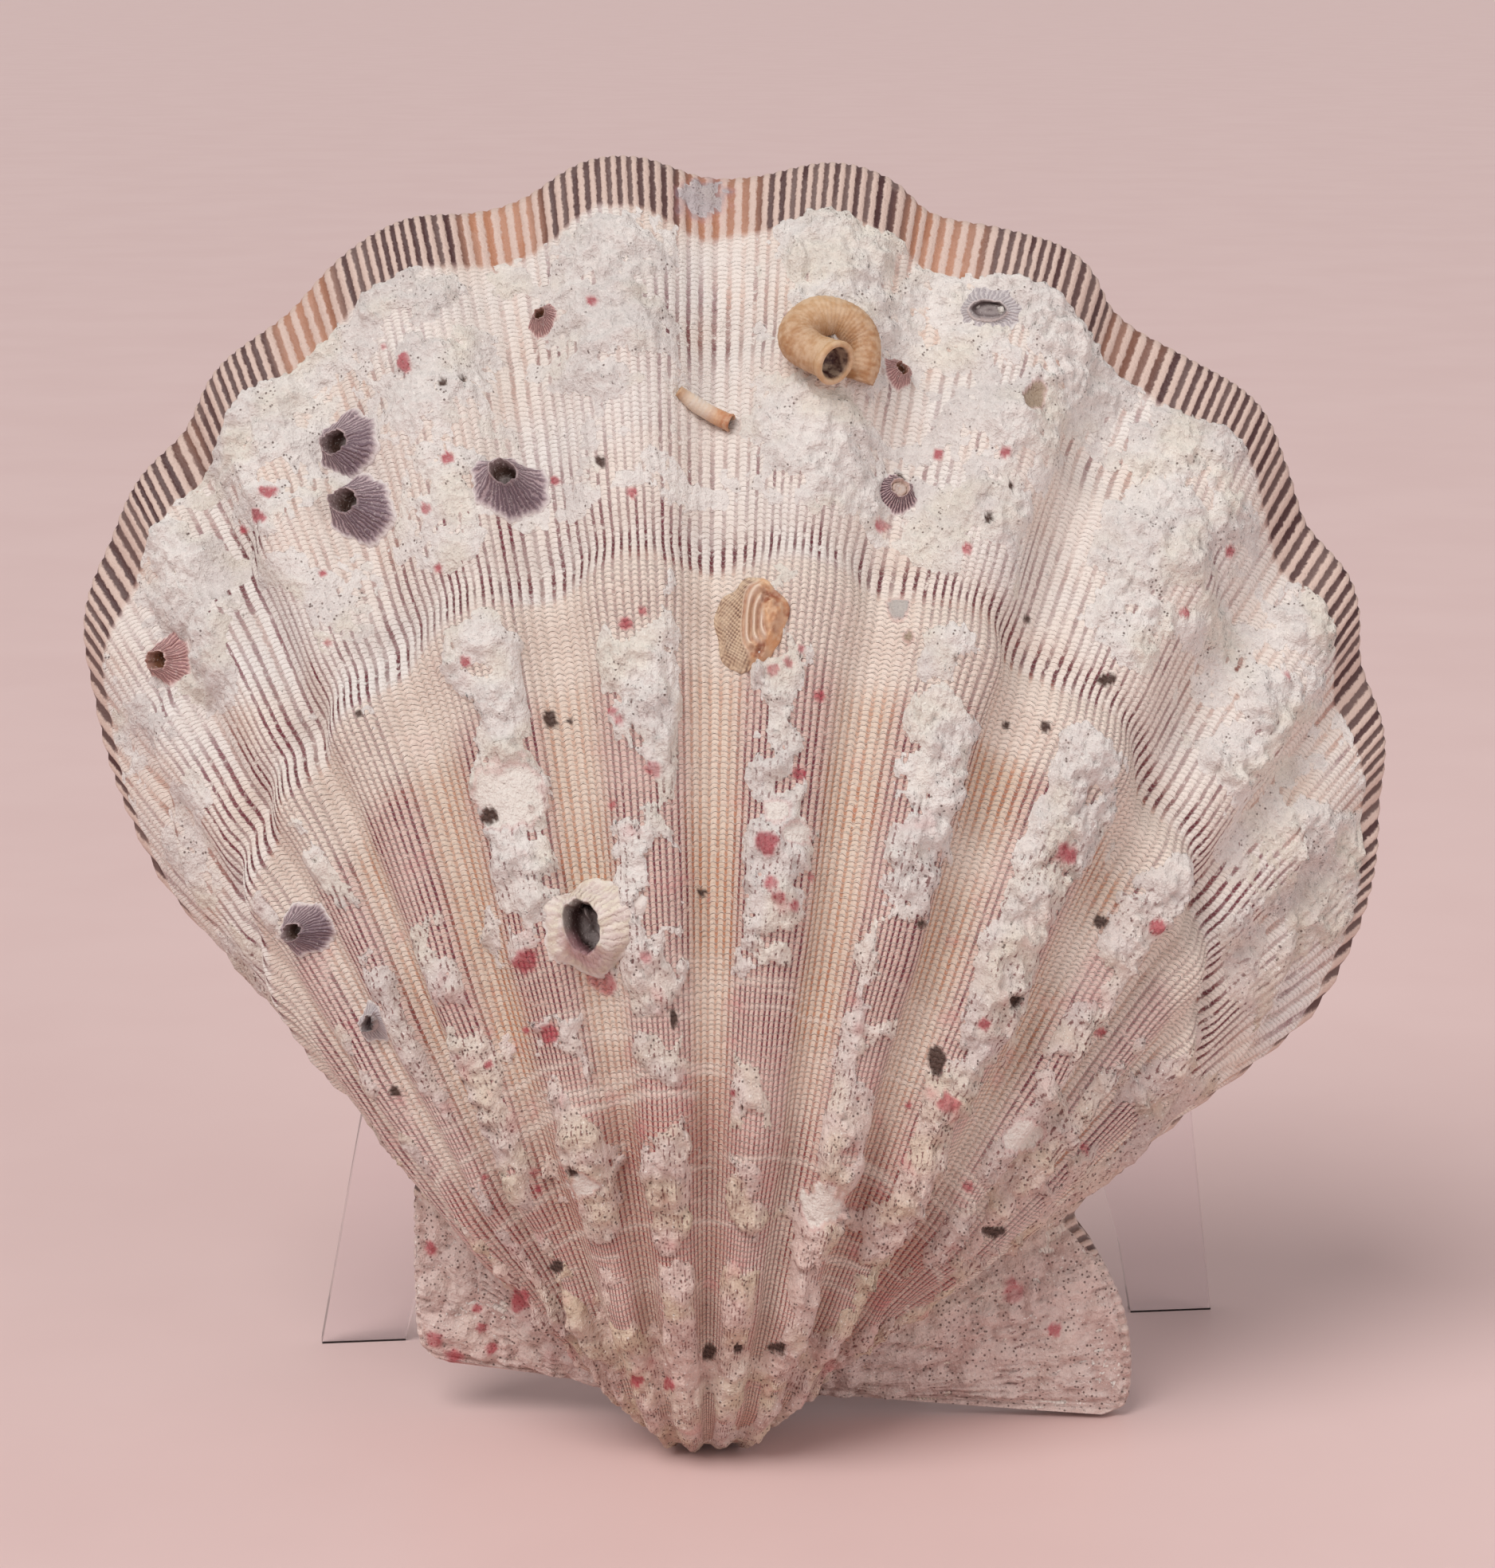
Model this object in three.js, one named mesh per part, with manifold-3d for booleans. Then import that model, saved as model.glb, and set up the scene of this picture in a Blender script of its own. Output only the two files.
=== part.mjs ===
// One valve of a large encrusted lion paw scallop, standing upright on a clear folded easel.
// Millimetres, +Z up, the convex outer face looks along -Y, the floor is z = 0.
import * as THREE from 'three';
import Module from 'manifold-3d';

// Driving dimensions, in millimetres and degrees.
const SHELL_HEIGHT = 138.6;     // hinge line to the top of the margin
const LEAN_DEG = 9;            // how far the valve leans back on its stand
const COIL_RATE = 1.2;         // growth per radian: size falls by e^-COIL_RATE each radian
const BULGE = 0.76;            // depth of the valve against an ideal coil
const COIL_STRAIGHT = 1.35;    // radians that the valve coils freely
const COIL_END = 1.95;         // radians that the worn beak tends to
const BEAK_SIZE = 0.02;        // growth stage at which the beak is closed
const MARGIN_THICKNESS = 1.4;  // shell wall at the margin
const EAR_THICKNESS = 3.0;     // shell wall at the hinge and on the ears
const WALL = 4.2;              // wall in the middle of the disc
const RIB_HEIGHT = 4.4;        // radial ribs at their strongest
const CRUST_STEP = 0.9;        // chalky crust above the bare margin
const CRUST_EDGE = 0.958;      // growth stage where the crust ends
const BEAK_TAPER = 2.4;         // how much slimmer the sides of the beak are than the coil
const EVEN_RIM = 0.75;          // share of the rib height by which the valleys reach out too at the rim
const MAIN_RING = 0.705;       // growth stage of the strongest growth ring
const OUTER_RING = 0.86;       // growth stage of the ring outside it
const SEAT_GAP = 0.3;          // gap between the valve and what sits on it
const SINK = 1.2;              // how far a growth starts below the face before it is seated
const HOLLOW_CENTRE = [3, 62]; // middle of the hollow, right and up from the hinge middle
const HINGE_PLATE = 10;        // height of the solid hinge plate above the hinge line
const HOLLOW_SLOPE = 1.1;      // depth gained per millimetre above the hinge plate
const HOLLOW_RIM = 1.1;        // flat land between the hollow and the margin
const FLUTE_SHARE = 0.6;       // flutes inside, as a share of the ribs outside
const BACK_CENTRE = [3, 30];   // where the triangles of the flat back meet, right and up

// Clear stand: one sheet folded over a ridge, two feet behind and a tongue in front.
const SHEET = 2;               // thickness of the acrylic sheet
const RIDGE_HEIGHT = 97;       // bend at the top, above the floor
const RIDGE_WIDTH = 30;
const BEND_RADIUS = 1.6;       // outer radius of the bend along the ridge
const RIDGE_Y = 4;             // ridge behind the hinge line
const FEET_Y = 30;             // feet behind the hinge line
const TONGUE_Y = 6.5;          // foot of the front tongue behind the hinge line
const FEET_SPAN = 109;         // over the outer edges of the feet
const FOOT_WIDTH = 10;
const ARCH_HEIGHT = 60;        // cut-out between the feet, along the sheet
const SHOULDER_HEIGHT = 46;    // where the sides turn in towards the ridge, along the sheet
const SHOULDER_INSET = 7.5;    // how far the sides have come in at the shoulder
const WAIST_INSET = 12;        // bend of the sides between the shoulder and the ridge
const WAIST_RISE = 26;
const ARCH_PULL = [4, 20];     // roundness of the cut-out: inset near the floor and under its top
const ARCH_RISE = 26;
const STAND_X = 11.1;           // middle of the stand, right of the hinge middle
const STAND_TURN_DEG = 6.7;    // the left foot stands nearer the front

// The margin, seen square on, from the left end of the hinge line round to the right end.
// x to the right, z up from the hinge line.
const MARGIN_POINTS = [
  [-29.5, 3.2], [-32.4, 5], [-33.3, 12], [-33.4, 20], [-33.8, 27],
  [-39, 34.2], [-46.5, 42.6], [-54, 50.5], [-61.8, 58.9], [-66, 67.8],
  [-69.2, 79.2], [-69.8, 88.1], [-67.4, 96], [-63, 103.5], [-58, 109.4],
  [-54, 115.3], [-47.5, 121], [-40.5, 127.7], [-33.5, 131.5], [-26.5, 132.7],
  [-20, 134.6], [-13, 138.2], [-8, SHELL_HEIGHT], [-1, 137], [6, 136.9],
  [14.7, 138], [20, 136.6], [24.5, 133.3], [33, 130.9], [41, 127.7],
  [45, 122.3], [53.5, 116.8], [61, 111.7], [64.5, 105.4], [67.4, 98.6],
  [72, 92.3], [73.6, 84.2], [76.3, 75.7], [76.5, 68.3], [75.7, 58.9],
  [73.8, 52], [70, 44.8], [64, 39.4], [56, 33.3], [49, 27],
  [42.2, 20.3], [44.3, 16.8], [47.6, 10], [48.6, 3], [47.8, -1.6], [45.5, -2.7],
];

// Radial ribs: direction from the hinge at the margin in degrees, and share of RIB_HEIGHT.
const RIBS = [
  [-43.4, 0.25], [-38.2, 0.5], [-31.7, 0.75], [-24.8, 0.95], [-14.5, 1],
  [-4.1, 0.95], [5.8, 0.9], [16.9, 1], [28.5, 0.95], [39.2, 0.75], [45.9, 0.5], [51.5, 0.3],
];
// Valleys: between the ribs, with one beyond each end.
const VALLEYS = [-46.2, -40.9, -34.8, -28.4, -20.4, -9.9, 0.7, 11.5, 22.1, 34.2, 42.2, 48.8, 56];
const EDGE_LEFT = -50.5;       // direction of the left notch, where the disc meets the ear
const EDGE_RIGHT = 63.5;       // direction of the right notch

const rad = THREE.MathUtils.degToRad;
const deg = THREE.MathUtils.radToDeg;
const clamp = THREE.MathUtils.clamp;
const smooth = (x, a, b) => THREE.MathUtils.smoothstep(x, Math.min(a, b), Math.max(a, b));
const rise = (x, a, b) => (a < b ? smooth(x, a, b) : 1 - smooth(x, a, b));
const bell = (x, centre, width) => Math.exp(-(((x - centre) / width) ** 2));

// Margin as a curve, and as a radius in a given direction from the hinge.
const marginCurve = new THREE.CatmullRomCurve3(
  MARGIN_POINTS.map(([x, z]) => new THREE.Vector3(x, 0, z)), false, 'centripetal');
const MARGIN_SAMPLES = 600;
const marginTable = [];
for (let i = 0; i <= MARGIN_SAMPLES; i++) {
  const p = marginCurve.getPoint(i / MARGIN_SAMPLES);
  const direction = deg(Math.atan2(p.x, p.z));
  const last = marginTable.length ? marginTable[marginTable.length - 1].direction : -Infinity;
  marginTable.push({ direction: Math.max(direction, last + 1e-4), radius: Math.hypot(p.x, p.z) });
}

function marginRadius(direction) {
  let low = 0;
  let high = MARGIN_SAMPLES;
  const d = clamp(direction, marginTable[0].direction, marginTable[high].direction);
  while (high - low > 1) {
    const middle = (low + high) >> 1;
    if (marginTable[middle].direction <= d) low = middle;
    else high = middle;
  }
  const a = marginTable[low];
  const b = marginTable[high];
  return a.radius + (b.radius - a.radius) * (d - a.direction) / (b.direction - a.direction);
}

// Growth: the valve's outer face at a margin direction and a growth stage.
function coil(stage) {
  const angle = -Math.log(stage) / COIL_RATE;
  if (angle < COIL_STRAIGHT) return angle;
  const rest = COIL_END - COIL_STRAIGHT;
  return COIL_STRAIGHT + rest * (1 - Math.exp(-(angle - COIL_STRAIGHT) / rest));
}

// How much a point belongs to the disc (1) or to an ear (0).
function discShare(direction) {
  return Math.min(rise(direction, EDGE_LEFT - 8, EDGE_LEFT + 5),
    rise(direction, EDGE_RIGHT + 8, EDGE_RIGHT - 5));
}

function smoothFace(direction, stage) {
  const radius = marginRadius(direction);
  const x = radius * Math.sin(rad(direction));
  const z = radius * Math.cos(rad(direction));
  const angle = coil(stage);
  const wall = THREE.MathUtils.lerp(EAR_THICKNESS, MARGIN_THICKNESS,
    discShare(direction) * rise(stage, 0.5, 0.95));
  return new THREE.Vector3(
    stage * x,
    -BULGE * stage * z * Math.sin(angle) - wall,
    stage * z * Math.cos(angle));
}

// Relief on the outer face.
// Phase: whole numbers on rib crests, halves in the valleys.
function ribPhase(direction) {
  for (let i = 0; i < RIBS.length; i++) {
    const crest = RIBS[i][0];
    const left = VALLEYS[i];
    const right = VALLEYS[i + 1];
    if (direction >= left && direction < crest) return i - 0.5 * (crest - direction) / (crest - left);
    if (direction >= crest && direction <= right) return i + 0.5 * (direction - crest) / (right - crest);
  }
  return direction < 0 ? -0.5 : RIBS.length - 0.5;
}

function ribShape(direction) {
  const phase = ribPhase(direction);
  const share = RIBS[clamp(Math.round(phase), 0, RIBS.length - 1)][1];
  const crest = 0.5 + 0.5 * Math.cos(2 * Math.PI * phase);
  return share * crest ** 0.8;
}

// Rounded lumps where ribs cross growth rings, and knobs near the beak: growth stage, height, width.
const KNOBS = [[0.12, 1.7, 0.045], [0.17, 0.9, 0.016], [0.25, 1.5, 0.024], [0.36, 1.7, 0.03], [0.5, 1.2, 0.035],
  [MAIN_RING - 0.03, 0.9, 0.03], [OUTER_RING - 0.02, 0.6, 0.03]];

function knobs(direction, stage) {
  const heights = KNOBS.map(([centre, height, width]) => height * bell(stage, centre, width));
  return ribShape(direction) * heights.reduce((total, height) => total + height, 0);
}

function ribStrength(stage) {
  return RIB_HEIGHT * stage ** 0.75 * (1 - 0.25 * rise(stage, 0.85, 1));
}

// The valleys end almost as far out as the crests, so that the rim is only gently scalloped.
function evenReach(direction, stage) {
  const phase = clamp(ribPhase(direction), 0, RIBS.length - 1);
  const left = Math.floor(phase);
  const right = Math.min(left + 1, RIBS.length - 1);
  const share = THREE.MathUtils.lerp(RIBS[left][1], RIBS[right][1], phase - left);
  const missing = ribStrength(stage) * Math.max(0, share - ribShape(direction));
  return EVEN_RIM * discShare(direction) * missing * rise(stage, 0.85, 1);
}

function relief(direction, stage) {
  const disc = discShare(direction);
  const strength = ribStrength(stage);
  const taper = BEAK_TAPER * rise(Math.abs(direction - 2), 10, 35) * rise(stage, 0.45, 0.22)
    * rise(stage, 0.03, 0.14);
  const crest = ribShape(direction);
  const rings = 0.9 * (bell(stage, MAIN_RING - 0.012, 0.018) - bell(stage, MAIN_RING + 0.018, 0.014))
    + 0.5 * (bell(stage, OUTER_RING - 0.012, 0.016) - bell(stage, OUTER_RING + 0.014, 0.012));
  const crust = CRUST_STEP * rise(stage, CRUST_EDGE + 0.006, CRUST_EDGE - 0.018);
  return disc * (strength * crest + rings + knobs(direction, stage) - taper) + crust * (0.4 + 0.6 * disc);
}

// Outer face with its relief, moved out along the local normal. The relief is worn at both ends.
const END_RELIEF = 0.9;

function outerFace(direction, stage, lift = 0) {
  const step = 0.05;
  const here = smoothFace(direction, stage);
  const across = smoothFace(direction + step, stage).sub(smoothFace(direction - step, stage));
  const along = smoothFace(direction, stage * 1.005).sub(smoothFace(direction, stage * 0.995));
  const normal = across.cross(along).normalize();
  const atAnEnd = stage > 0.999 || stage < 0.03;
  here.addScaledVector(normal, relief(direction, stage) * (atAnEnd ? END_RELIEF : 1) + lift);
  const reach = evenReach(direction, stage);
  here.x += normal.x * reach;
  here.z += normal.z * reach;
  here.y = Math.min(here.y, -MARGIN_THICKNESS * 0.6);
  return here;
}

// Growth stage and direction of the outer face at a point seen square on.
function growthAt(x, z) {
  let low = 0.02;
  let high = 1;
  for (let i = 0; i < 30; i++) {
    const stage = 0.5 * (low + high);
    const px = x / stage;
    const pz = z / (stage * Math.max(0.02, Math.cos(coil(stage))));
    if (Math.hypot(px, pz) > marginRadius(deg(Math.atan2(px, pz)))) low = stage;
    else high = stage;
  }
  const stage = 0.5 * (low + high);
  const px = x / stage;
  const pz = z / (stage * Math.max(0.02, Math.cos(coil(stage))));
  return { direction: deg(Math.atan2(px, pz)), stage };
}

// Columns of margin directions: eight to a rib, fewer on the flanks and ears.
function columns() {
  const list = [];
  const first = marginTable[0].direction;
  const last = marginTable[MARGIN_SAMPLES].direction;
  const add = (from, to, count) => {
    for (let i = 0; i < count; i++) list.push(from + (to - from) * i / count);
  };
  add(first, EDGE_LEFT - 10, 4);
  add(EDGE_LEFT - 10, EDGE_LEFT, 3);
  add(EDGE_LEFT, VALLEYS[0], 7);
  for (let i = 0; i < RIBS.length; i++) {
    const half = RIBS[i][1] < 0.6 ? 2 : 4;
    add(VALLEYS[i], RIBS[i][0], half);
    add(RIBS[i][0], VALLEYS[i + 1], half);
  }
  add(VALLEYS[VALLEYS.length - 1], EDGE_RIGHT, 7);
  add(EDGE_RIGHT, EDGE_RIGHT + 10, 3);
  add(EDGE_RIGHT + 10, last, 4);
  list.push(last);
  return list;
}

// Stages, closer together near the margin, the rings and the beak.
function stages() {
  return [1, 0.965, 0.94, 0.9, 0.87, 0.845, 0.8, 0.755, 0.72, 0.695, 0.655, 0.6, 0.545, 0.495,
    0.445, 0.4, 0.355, 0.31, 0.26, 0.215, 0.165, 0.12, 0.08, 0.045, BEAK_SIZE];
}

// Meshes.
function meshFrom(positions, triangles) {
  const geometry = new THREE.BufferGeometry();
  geometry.setAttribute('position', new THREE.Float32BufferAttribute(positions, 3));
  geometry.setIndex(triangles);
  return geometry;
}

// Closed block between the outer face and the plane of the margin, y = 0.
function valveBlock(lift = 0) {
  const across = columns();
  const rows = stages();
  const positions = [];
  const triangles = [];
  const push = (p) => positions.push(p.x, p.y, p.z) / 3 - 1;
  const grid = rows.map((stage) => across.map((direction) => push(outerFace(direction, stage, lift))));
  const n = across.length;
  for (let r = 0; r + 1 < rows.length; r++) {
    for (let c = 0; c + 1 < n; c++) {
      const [a, b, d, e] = [grid[r][c], grid[r][c + 1], grid[r + 1][c], grid[r + 1][c + 1]];
      triangles.push(a, d, b, b, d, e);
    }
  }
  const beak = push(new THREE.Vector3(0, -EAR_THICKNESS - lift, 0));
  const tip = grid[rows.length - 1];
  for (let c = 0; c + 1 < n; c++) triangles.push(tip[c], beak, tip[c + 1]);
  // Rim of the block: right hinge edge outwards, margin from right to left, left hinge edge inwards.
  const loop = [beak];
  for (let r = rows.length - 1; r >= 0; r--) loop.push(grid[r][n - 1]);
  for (let c = n - 2; c >= 0; c--) loop.push(grid[0][c]);
  for (let r = 1; r < rows.length; r++) loop.push(grid[r][0]);
  const back = loop.map((i) => push(new THREE.Vector3(positions[3 * i], lift, positions[3 * i + 2])));
  const centre = push(new THREE.Vector3(BACK_CENTRE[0], lift, BACK_CENTRE[1]));
  for (let i = 0; i < loop.length; i++) {
    const j = (i + 1) % loop.length;
    triangles.push(loop[i], back[i], loop[j], loop[j], back[i], back[j]);
    triangles.push(back[i], centre, back[j]);
  }
  return meshFrom(positions, triangles);
}

// The hollow: a closed cutter whose front follows the outer face at the wall's thickness.
const HOLLOW_SPOKES = 76;
const HOLLOW_ROWS = 8;
const BEHIND = 4;              // how far the cutter reaches behind the plane of the margin

// The inside follows the valleys of the outside, with soft flutes under the outer half of the ribs.
function hollowDepth(x, z) {
  const { direction, stage } = growthAt(x, z);
  const depth = -smoothFace(direction, stage).y;
  const flute = FLUTE_SHARE * RIB_HEIGHT * ribShape(direction) * rise(stage, 0.45, 0.85);
  const wall = THREE.MathUtils.lerp(WALL, MARGIN_THICKNESS, rise(stage, 0.6, 0.985));
  const plateSlope = (z - HINGE_PLATE) * HOLLOW_SLOPE;
  return Math.max(0, Math.min(depth - wall + flute, plateSlope));
}

// Edge of the hollow in a direction from its centre, just inside the margin and above the plate.
function hollowEdge(angle) {
  const [cx, cz] = HOLLOW_CENTRE;
  let low = 0;
  let high = 110;
  for (let i = 0; i < 24; i++) {
    const reach = 0.5 * (low + high);
    const x = cx + reach * Math.sin(angle);
    const z = cz + reach * Math.cos(angle);
    const direction = deg(Math.atan2(x, z));
    const inside = z > HINGE_PLATE && direction > EDGE_LEFT + 3.5 && direction < EDGE_RIGHT - 3.5
      && Math.hypot(x, z) < marginRadius(direction) - HOLLOW_RIM;
    if (inside) low = reach;
    else high = reach;
  }
  return low;
}

function hollowBlock() {
  const [cx, cz] = HOLLOW_CENTRE;
  const positions = [];
  const triangles = [];
  const push = (x, y, z) => positions.push(x, y, z) / 3 - 1;
  const front = push(cx, -hollowDepth(cx, cz), cz);
  const back = push(cx, BEHIND, cz);
  const rings = [];
  for (let r = 1; r <= HOLLOW_ROWS + 1; r++) {
    const share = Math.min(1, (r / HOLLOW_ROWS) ** 0.8);
    rings.push(Array.from({ length: HOLLOW_SPOKES }, (_, k) => {
      const angle = 2 * Math.PI * k / HOLLOW_SPOKES;
      const reach = hollowEdge(angle) * share;
      const x = cx + reach * Math.sin(angle);
      const z = cz + reach * Math.cos(angle);
      const y = r > HOLLOW_ROWS ? BEHIND : (r === HOLLOW_ROWS ? 0.2 : -hollowDepth(x, z));
      return push(x, y, z);
    }));
  }
  for (let k = 0; k < HOLLOW_SPOKES; k++) {
    const m = (k + 1) % HOLLOW_SPOKES;
    triangles.push(front, rings[0][m], rings[0][k]);
    for (let r = 0; r + 1 < rings.length; r++) {
      const [a, b, c, d] = [rings[r][k], rings[r][m], rings[r + 1][k], rings[r + 1][m]];
      triangles.push(a, b, c, b, d, c);
    }
    triangles.push(back, rings[rings.length - 1][k], rings[rings.length - 1][m]);
  }
  return meshFrom(positions, triangles);
}

// Solids.
const wasm = await Module();
wasm.setup();

function toSolid(geometry) {
  const position = geometry.getAttribute('position');
  const index = geometry.getIndex();
  const keys = new Map();
  const vertices = [];
  const remap = [];
  for (let i = 0; i < position.count; i++) {
    const p = [position.getX(i), position.getY(i), position.getZ(i)];
    const key = p.map((v) => Math.round(v * 1e4)).join(',');
    if (!keys.has(key)) {
      keys.set(key, vertices.length / 3);
      vertices.push(...p);
    }
    remap.push(keys.get(key));
  }
  const source = index ? Array.from(index.array) : Array.from({ length: position.count }, (_, i) => i);
  const triangles = [];
  for (let i = 0; i < source.length; i += 3) {
    const [a, b, c] = [remap[source[i]], remap[source[i + 1]], remap[source[i + 2]]];
    if (a !== b && b !== c && c !== a) triangles.push(a, b, c);
  }
  const mesh = new wasm.Mesh({
    numProp: 3,
    vertProperties: new Float32Array(vertices),
    triVerts: new Uint32Array(triangles),
  });
  return new wasm.Manifold(mesh);
}

function toGeometry(solid) {
  const mesh = solid.getMesh();
  return meshFrom(Array.from(mesh.vertProperties), Array.from(mesh.triVerts));
}

// Growths that sit on the outer face.
// Direction and stage of a point that lies (right, up) millimetres from a place on the face.
function beside(direction, stage, right, up) {
  const here = outerFace(direction, stage);
  const perDegree = smoothFace(direction + 0.5, stage).sub(smoothFace(direction - 0.5, stage));
  const perStage = smoothFace(direction, stage + 0.01).sub(smoothFace(direction, stage - 0.01));
  const eastward = perDegree.clone().normalize();
  const normal = perDegree.clone().cross(perStage).normalize();
  const northward = normal.clone().cross(eastward);
  perStage.multiplyScalar(50);
  const stageStep = up / perStage.dot(northward);
  const degreeStep = (right - stageStep * perStage.dot(eastward)) / perDegree.length();
  return { direction: direction + degreeStep, stage: Math.min(0.995, stage + stageStep), here, normal };
}

// A round growth draped on the face. The profile gives [share of the radius, height] pairs from
// the foot of the wall to the middle; the stretch makes it oval.
function drapedMound({ at, radius, stretch = 1, profile, segments = 14 }) {
  const positions = [];
  const triangles = [];
  const push = (p) => positions.push(p.x, p.y, p.z) / 3 - 1;
  const { normal } = beside(at[0], at[1], 0, 0);
  const base = (share, angle) => {
    const reach = share * radius;
    const spot = beside(at[0], at[1], reach * Math.cos(angle), reach * stretch * Math.sin(angle));
    return outerFace(spot.direction, spot.stage);
  };
  const lifted = (p, height) => p.clone().addScaledVector(normal, height);
  const ring = (share, height) => Array.from({ length: segments }, (_, k) =>
    push(lifted(base(share, 2 * Math.PI * k / segments), height)));
  const middle = base(0, 0);
  const rings = [ring(profile[0][0], -SINK)];
  for (const [share, height] of profile.slice(0, -1)) rings.push(ring(share, height));
  const top = push(lifted(middle, profile[profile.length - 1][1]));
  const under = push(lifted(middle, -SINK));
  for (let k = 0; k < segments; k++) {
    const m = (k + 1) % segments;
    for (let r = 0; r + 1 < rings.length; r++) {
      const [a, b, c, d] = [rings[r][k], rings[r][m], rings[r + 1][k], rings[r + 1][m]];
      triangles.push(a, b, c, b, d, c);
    }
    triangles.push(rings[rings.length - 1][k], rings[rings.length - 1][m], top);
    triangles.push(rings[0][m], rings[0][k], under);
  }
  return meshFrom(positions, triangles);
}

// Acorn barnacle: a sloping wall round an open crater with a plug of plates low inside.
function barnacle(at, radius, height, mouth) {
  const profile = [[1, 0], [(1 + 2 * mouth) / 3, height * 0.72], [mouth, height],
    [mouth * 0.6, height * 0.5], [0, height * 0.42]];
  return drapedMound({ at, radius, profile, segments: radius > 2.2 ? 12 : 8 });
}

const TUBE_START = 0.7;        // size of the first end, as a share of the radius
const TUBE_BORE = 0.62;        // bore of the mouth and its depth, as shares of the radius
const TUBE_BORE_DEPTH = 0.8;

// Tube swept along points given as [right, up, height] from a place on the face. Its last end is
// an open mouth with a short bore.
function tube({ at, route, radius, segments, stations }) {
  const points = route.map(([right, up, height]) => {
    const spot = beside(at[0], at[1], right, up);
    return outerFace(spot.direction, spot.stage).addScaledVector(spot.normal, height);
  });
  const curve = new THREE.CatmullRomCurve3(points);
  const frames = curve.computeFrenetFrames(stations, false);
  const positions = [];
  const triangles = [];
  const push = (p) => positions.push(p.x, p.y, p.z) / 3 - 1;
  const ring = (i, size, along = 0) => Array.from({ length: segments }, (_, k) => {
    const angle = 2 * Math.PI * k / segments;
    const p = curve.getPointAt(i / stations);
    p.addScaledVector(frames.normals[i], size * Math.cos(angle));
    p.addScaledVector(frames.binormals[i], size * Math.sin(angle));
    return push(p.addScaledVector(frames.tangents[i], along));
  });
  const rings = [];
  for (let i = 0; i <= stations; i++) {
    rings.push(ring(i, radius * (TUBE_START + (1 - TUBE_START) * rise(i / stations, 0, 0.4))));
  }
  rings.push(ring(stations, radius * TUBE_BORE));
  rings.push(ring(stations, radius * TUBE_BORE * 0.8, -radius * TUBE_BORE_DEPTH));
  for (let r = 0; r + 1 < rings.length; r++) {
    for (let k = 0; k < segments; k++) {
      const m = (k + 1) % segments;
      const [a, b, c, d] = [rings[r][k], rings[r][m], rings[r + 1][k], rings[r + 1][m]];
      triangles.push(a, b, c, b, d, c);
    }
  }
  const start = push(curve.getPointAt(0));
  const deep = -radius * TUBE_BORE_DEPTH;
  const bore = push(curve.getPointAt(1).addScaledVector(frames.tangents[stations], deep));
  for (let k = 0; k < segments; k++) {
    const m = (k + 1) % segments;
    triangles.push(rings[0][m], rings[0][k], start);
    triangles.push(rings[rings.length - 1][k], rings[rings.length - 1][m], bore);
  }
  return meshFrom(positions, triangles);
}

// Tubes: place on the valve, points of the middle line as right, up and height, and radius.
const COILED_TUBE = {
  at: [6.6, 0.85],
  radius: 2.15,
  route: [[3.3, -3, 0.5], [3.5, -0.8, 1.2], [2.8, 1.5, 1.6], [0.8, 2.8, 1.8], [-1.5, 2.6, 1.9],
    [-3, 0.9, 2], [-2.9, -1, 2.2], [-1.6, -2.6, 2.7], [-0.2, -3.6, 3.6], [0.6, -4.4, 4.6]],
  segments: 8,
  stations: 20,
};
const SMALL_TUBE = {
  at: [0, 0.818],
  radius: 0.9,
  route: [[-3.2, 0.9, 0.3], [-1, 0.2, 0.9], [1.2, -0.6, 1], [3, -1.4, 0.6]],
  segments: 6,
  stations: 6,
};
const FLATTENED_TUBE = {
  at: [3.2, 0.669],
  radius: 3.5,
  stretch: 1.35,
  profile: [[1, 0.1], [0.82, 1.1], [0.55, 0.8], [0.25, 1.3], [0, 1.1]],
};

// Clear stand.
// A flat panel from an outline of [across, up the sheet], leaned so that its top meets the ridge.
function panel(outline, footY) {
  const sheet = { depth: SHEET, bevelEnabled: false, curveSegments: 8 };
  const geometry = new THREE.ExtrudeGeometry(outline, sheet);
  geometry.translate(0, 0, -SHEET / 2);
  const lean = Math.atan2(RIDGE_HEIGHT, footY - RIDGE_Y);
  geometry.rotateX(Math.PI - lean);
  geometry.translate(0, footY, 0);
  return geometry;
}

function backOutline(length) {
  const half = FEET_SPAN / 2;
  const ridge = RIDGE_WIDTH / 2;
  const inner = half - FOOT_WIDTH;
  const waist = SHOULDER_HEIGHT + WAIST_RISE;
  const [lowPull, highPull] = ARCH_PULL;
  const shape = new THREE.Shape();
  shape.moveTo(-half, -SHEET);
  shape.lineTo(-half, 0);
  shape.lineTo(-half + SHOULDER_INSET, SHOULDER_HEIGHT);
  shape.quadraticCurveTo(-half + WAIST_INSET, waist, -ridge, length);
  shape.lineTo(ridge, length);
  shape.quadraticCurveTo(half - WAIST_INSET, waist, half - SHOULDER_INSET, SHOULDER_HEIGHT);
  shape.lineTo(half, 0);
  shape.lineTo(half, -SHEET);
  shape.lineTo(inner, -SHEET);
  shape.lineTo(inner, 0);
  shape.bezierCurveTo(inner - lowPull, ARCH_RISE, inner - highPull, ARCH_HEIGHT, 0, ARCH_HEIGHT);
  shape.bezierCurveTo(highPull - inner, ARCH_HEIGHT, lowPull - inner, ARCH_RISE, -inner, 0);
  shape.lineTo(-inner, -SHEET);
  return shape;
}

function tongueOutline(length) {
  const half = RIDGE_WIDTH / 2;
  const shape = new THREE.Shape();
  shape.moveTo(-half, -SHEET);
  shape.lineTo(-half, length);
  shape.lineTo(half, length);
  shape.lineTo(half, -SHEET);
  return shape;
}

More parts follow.
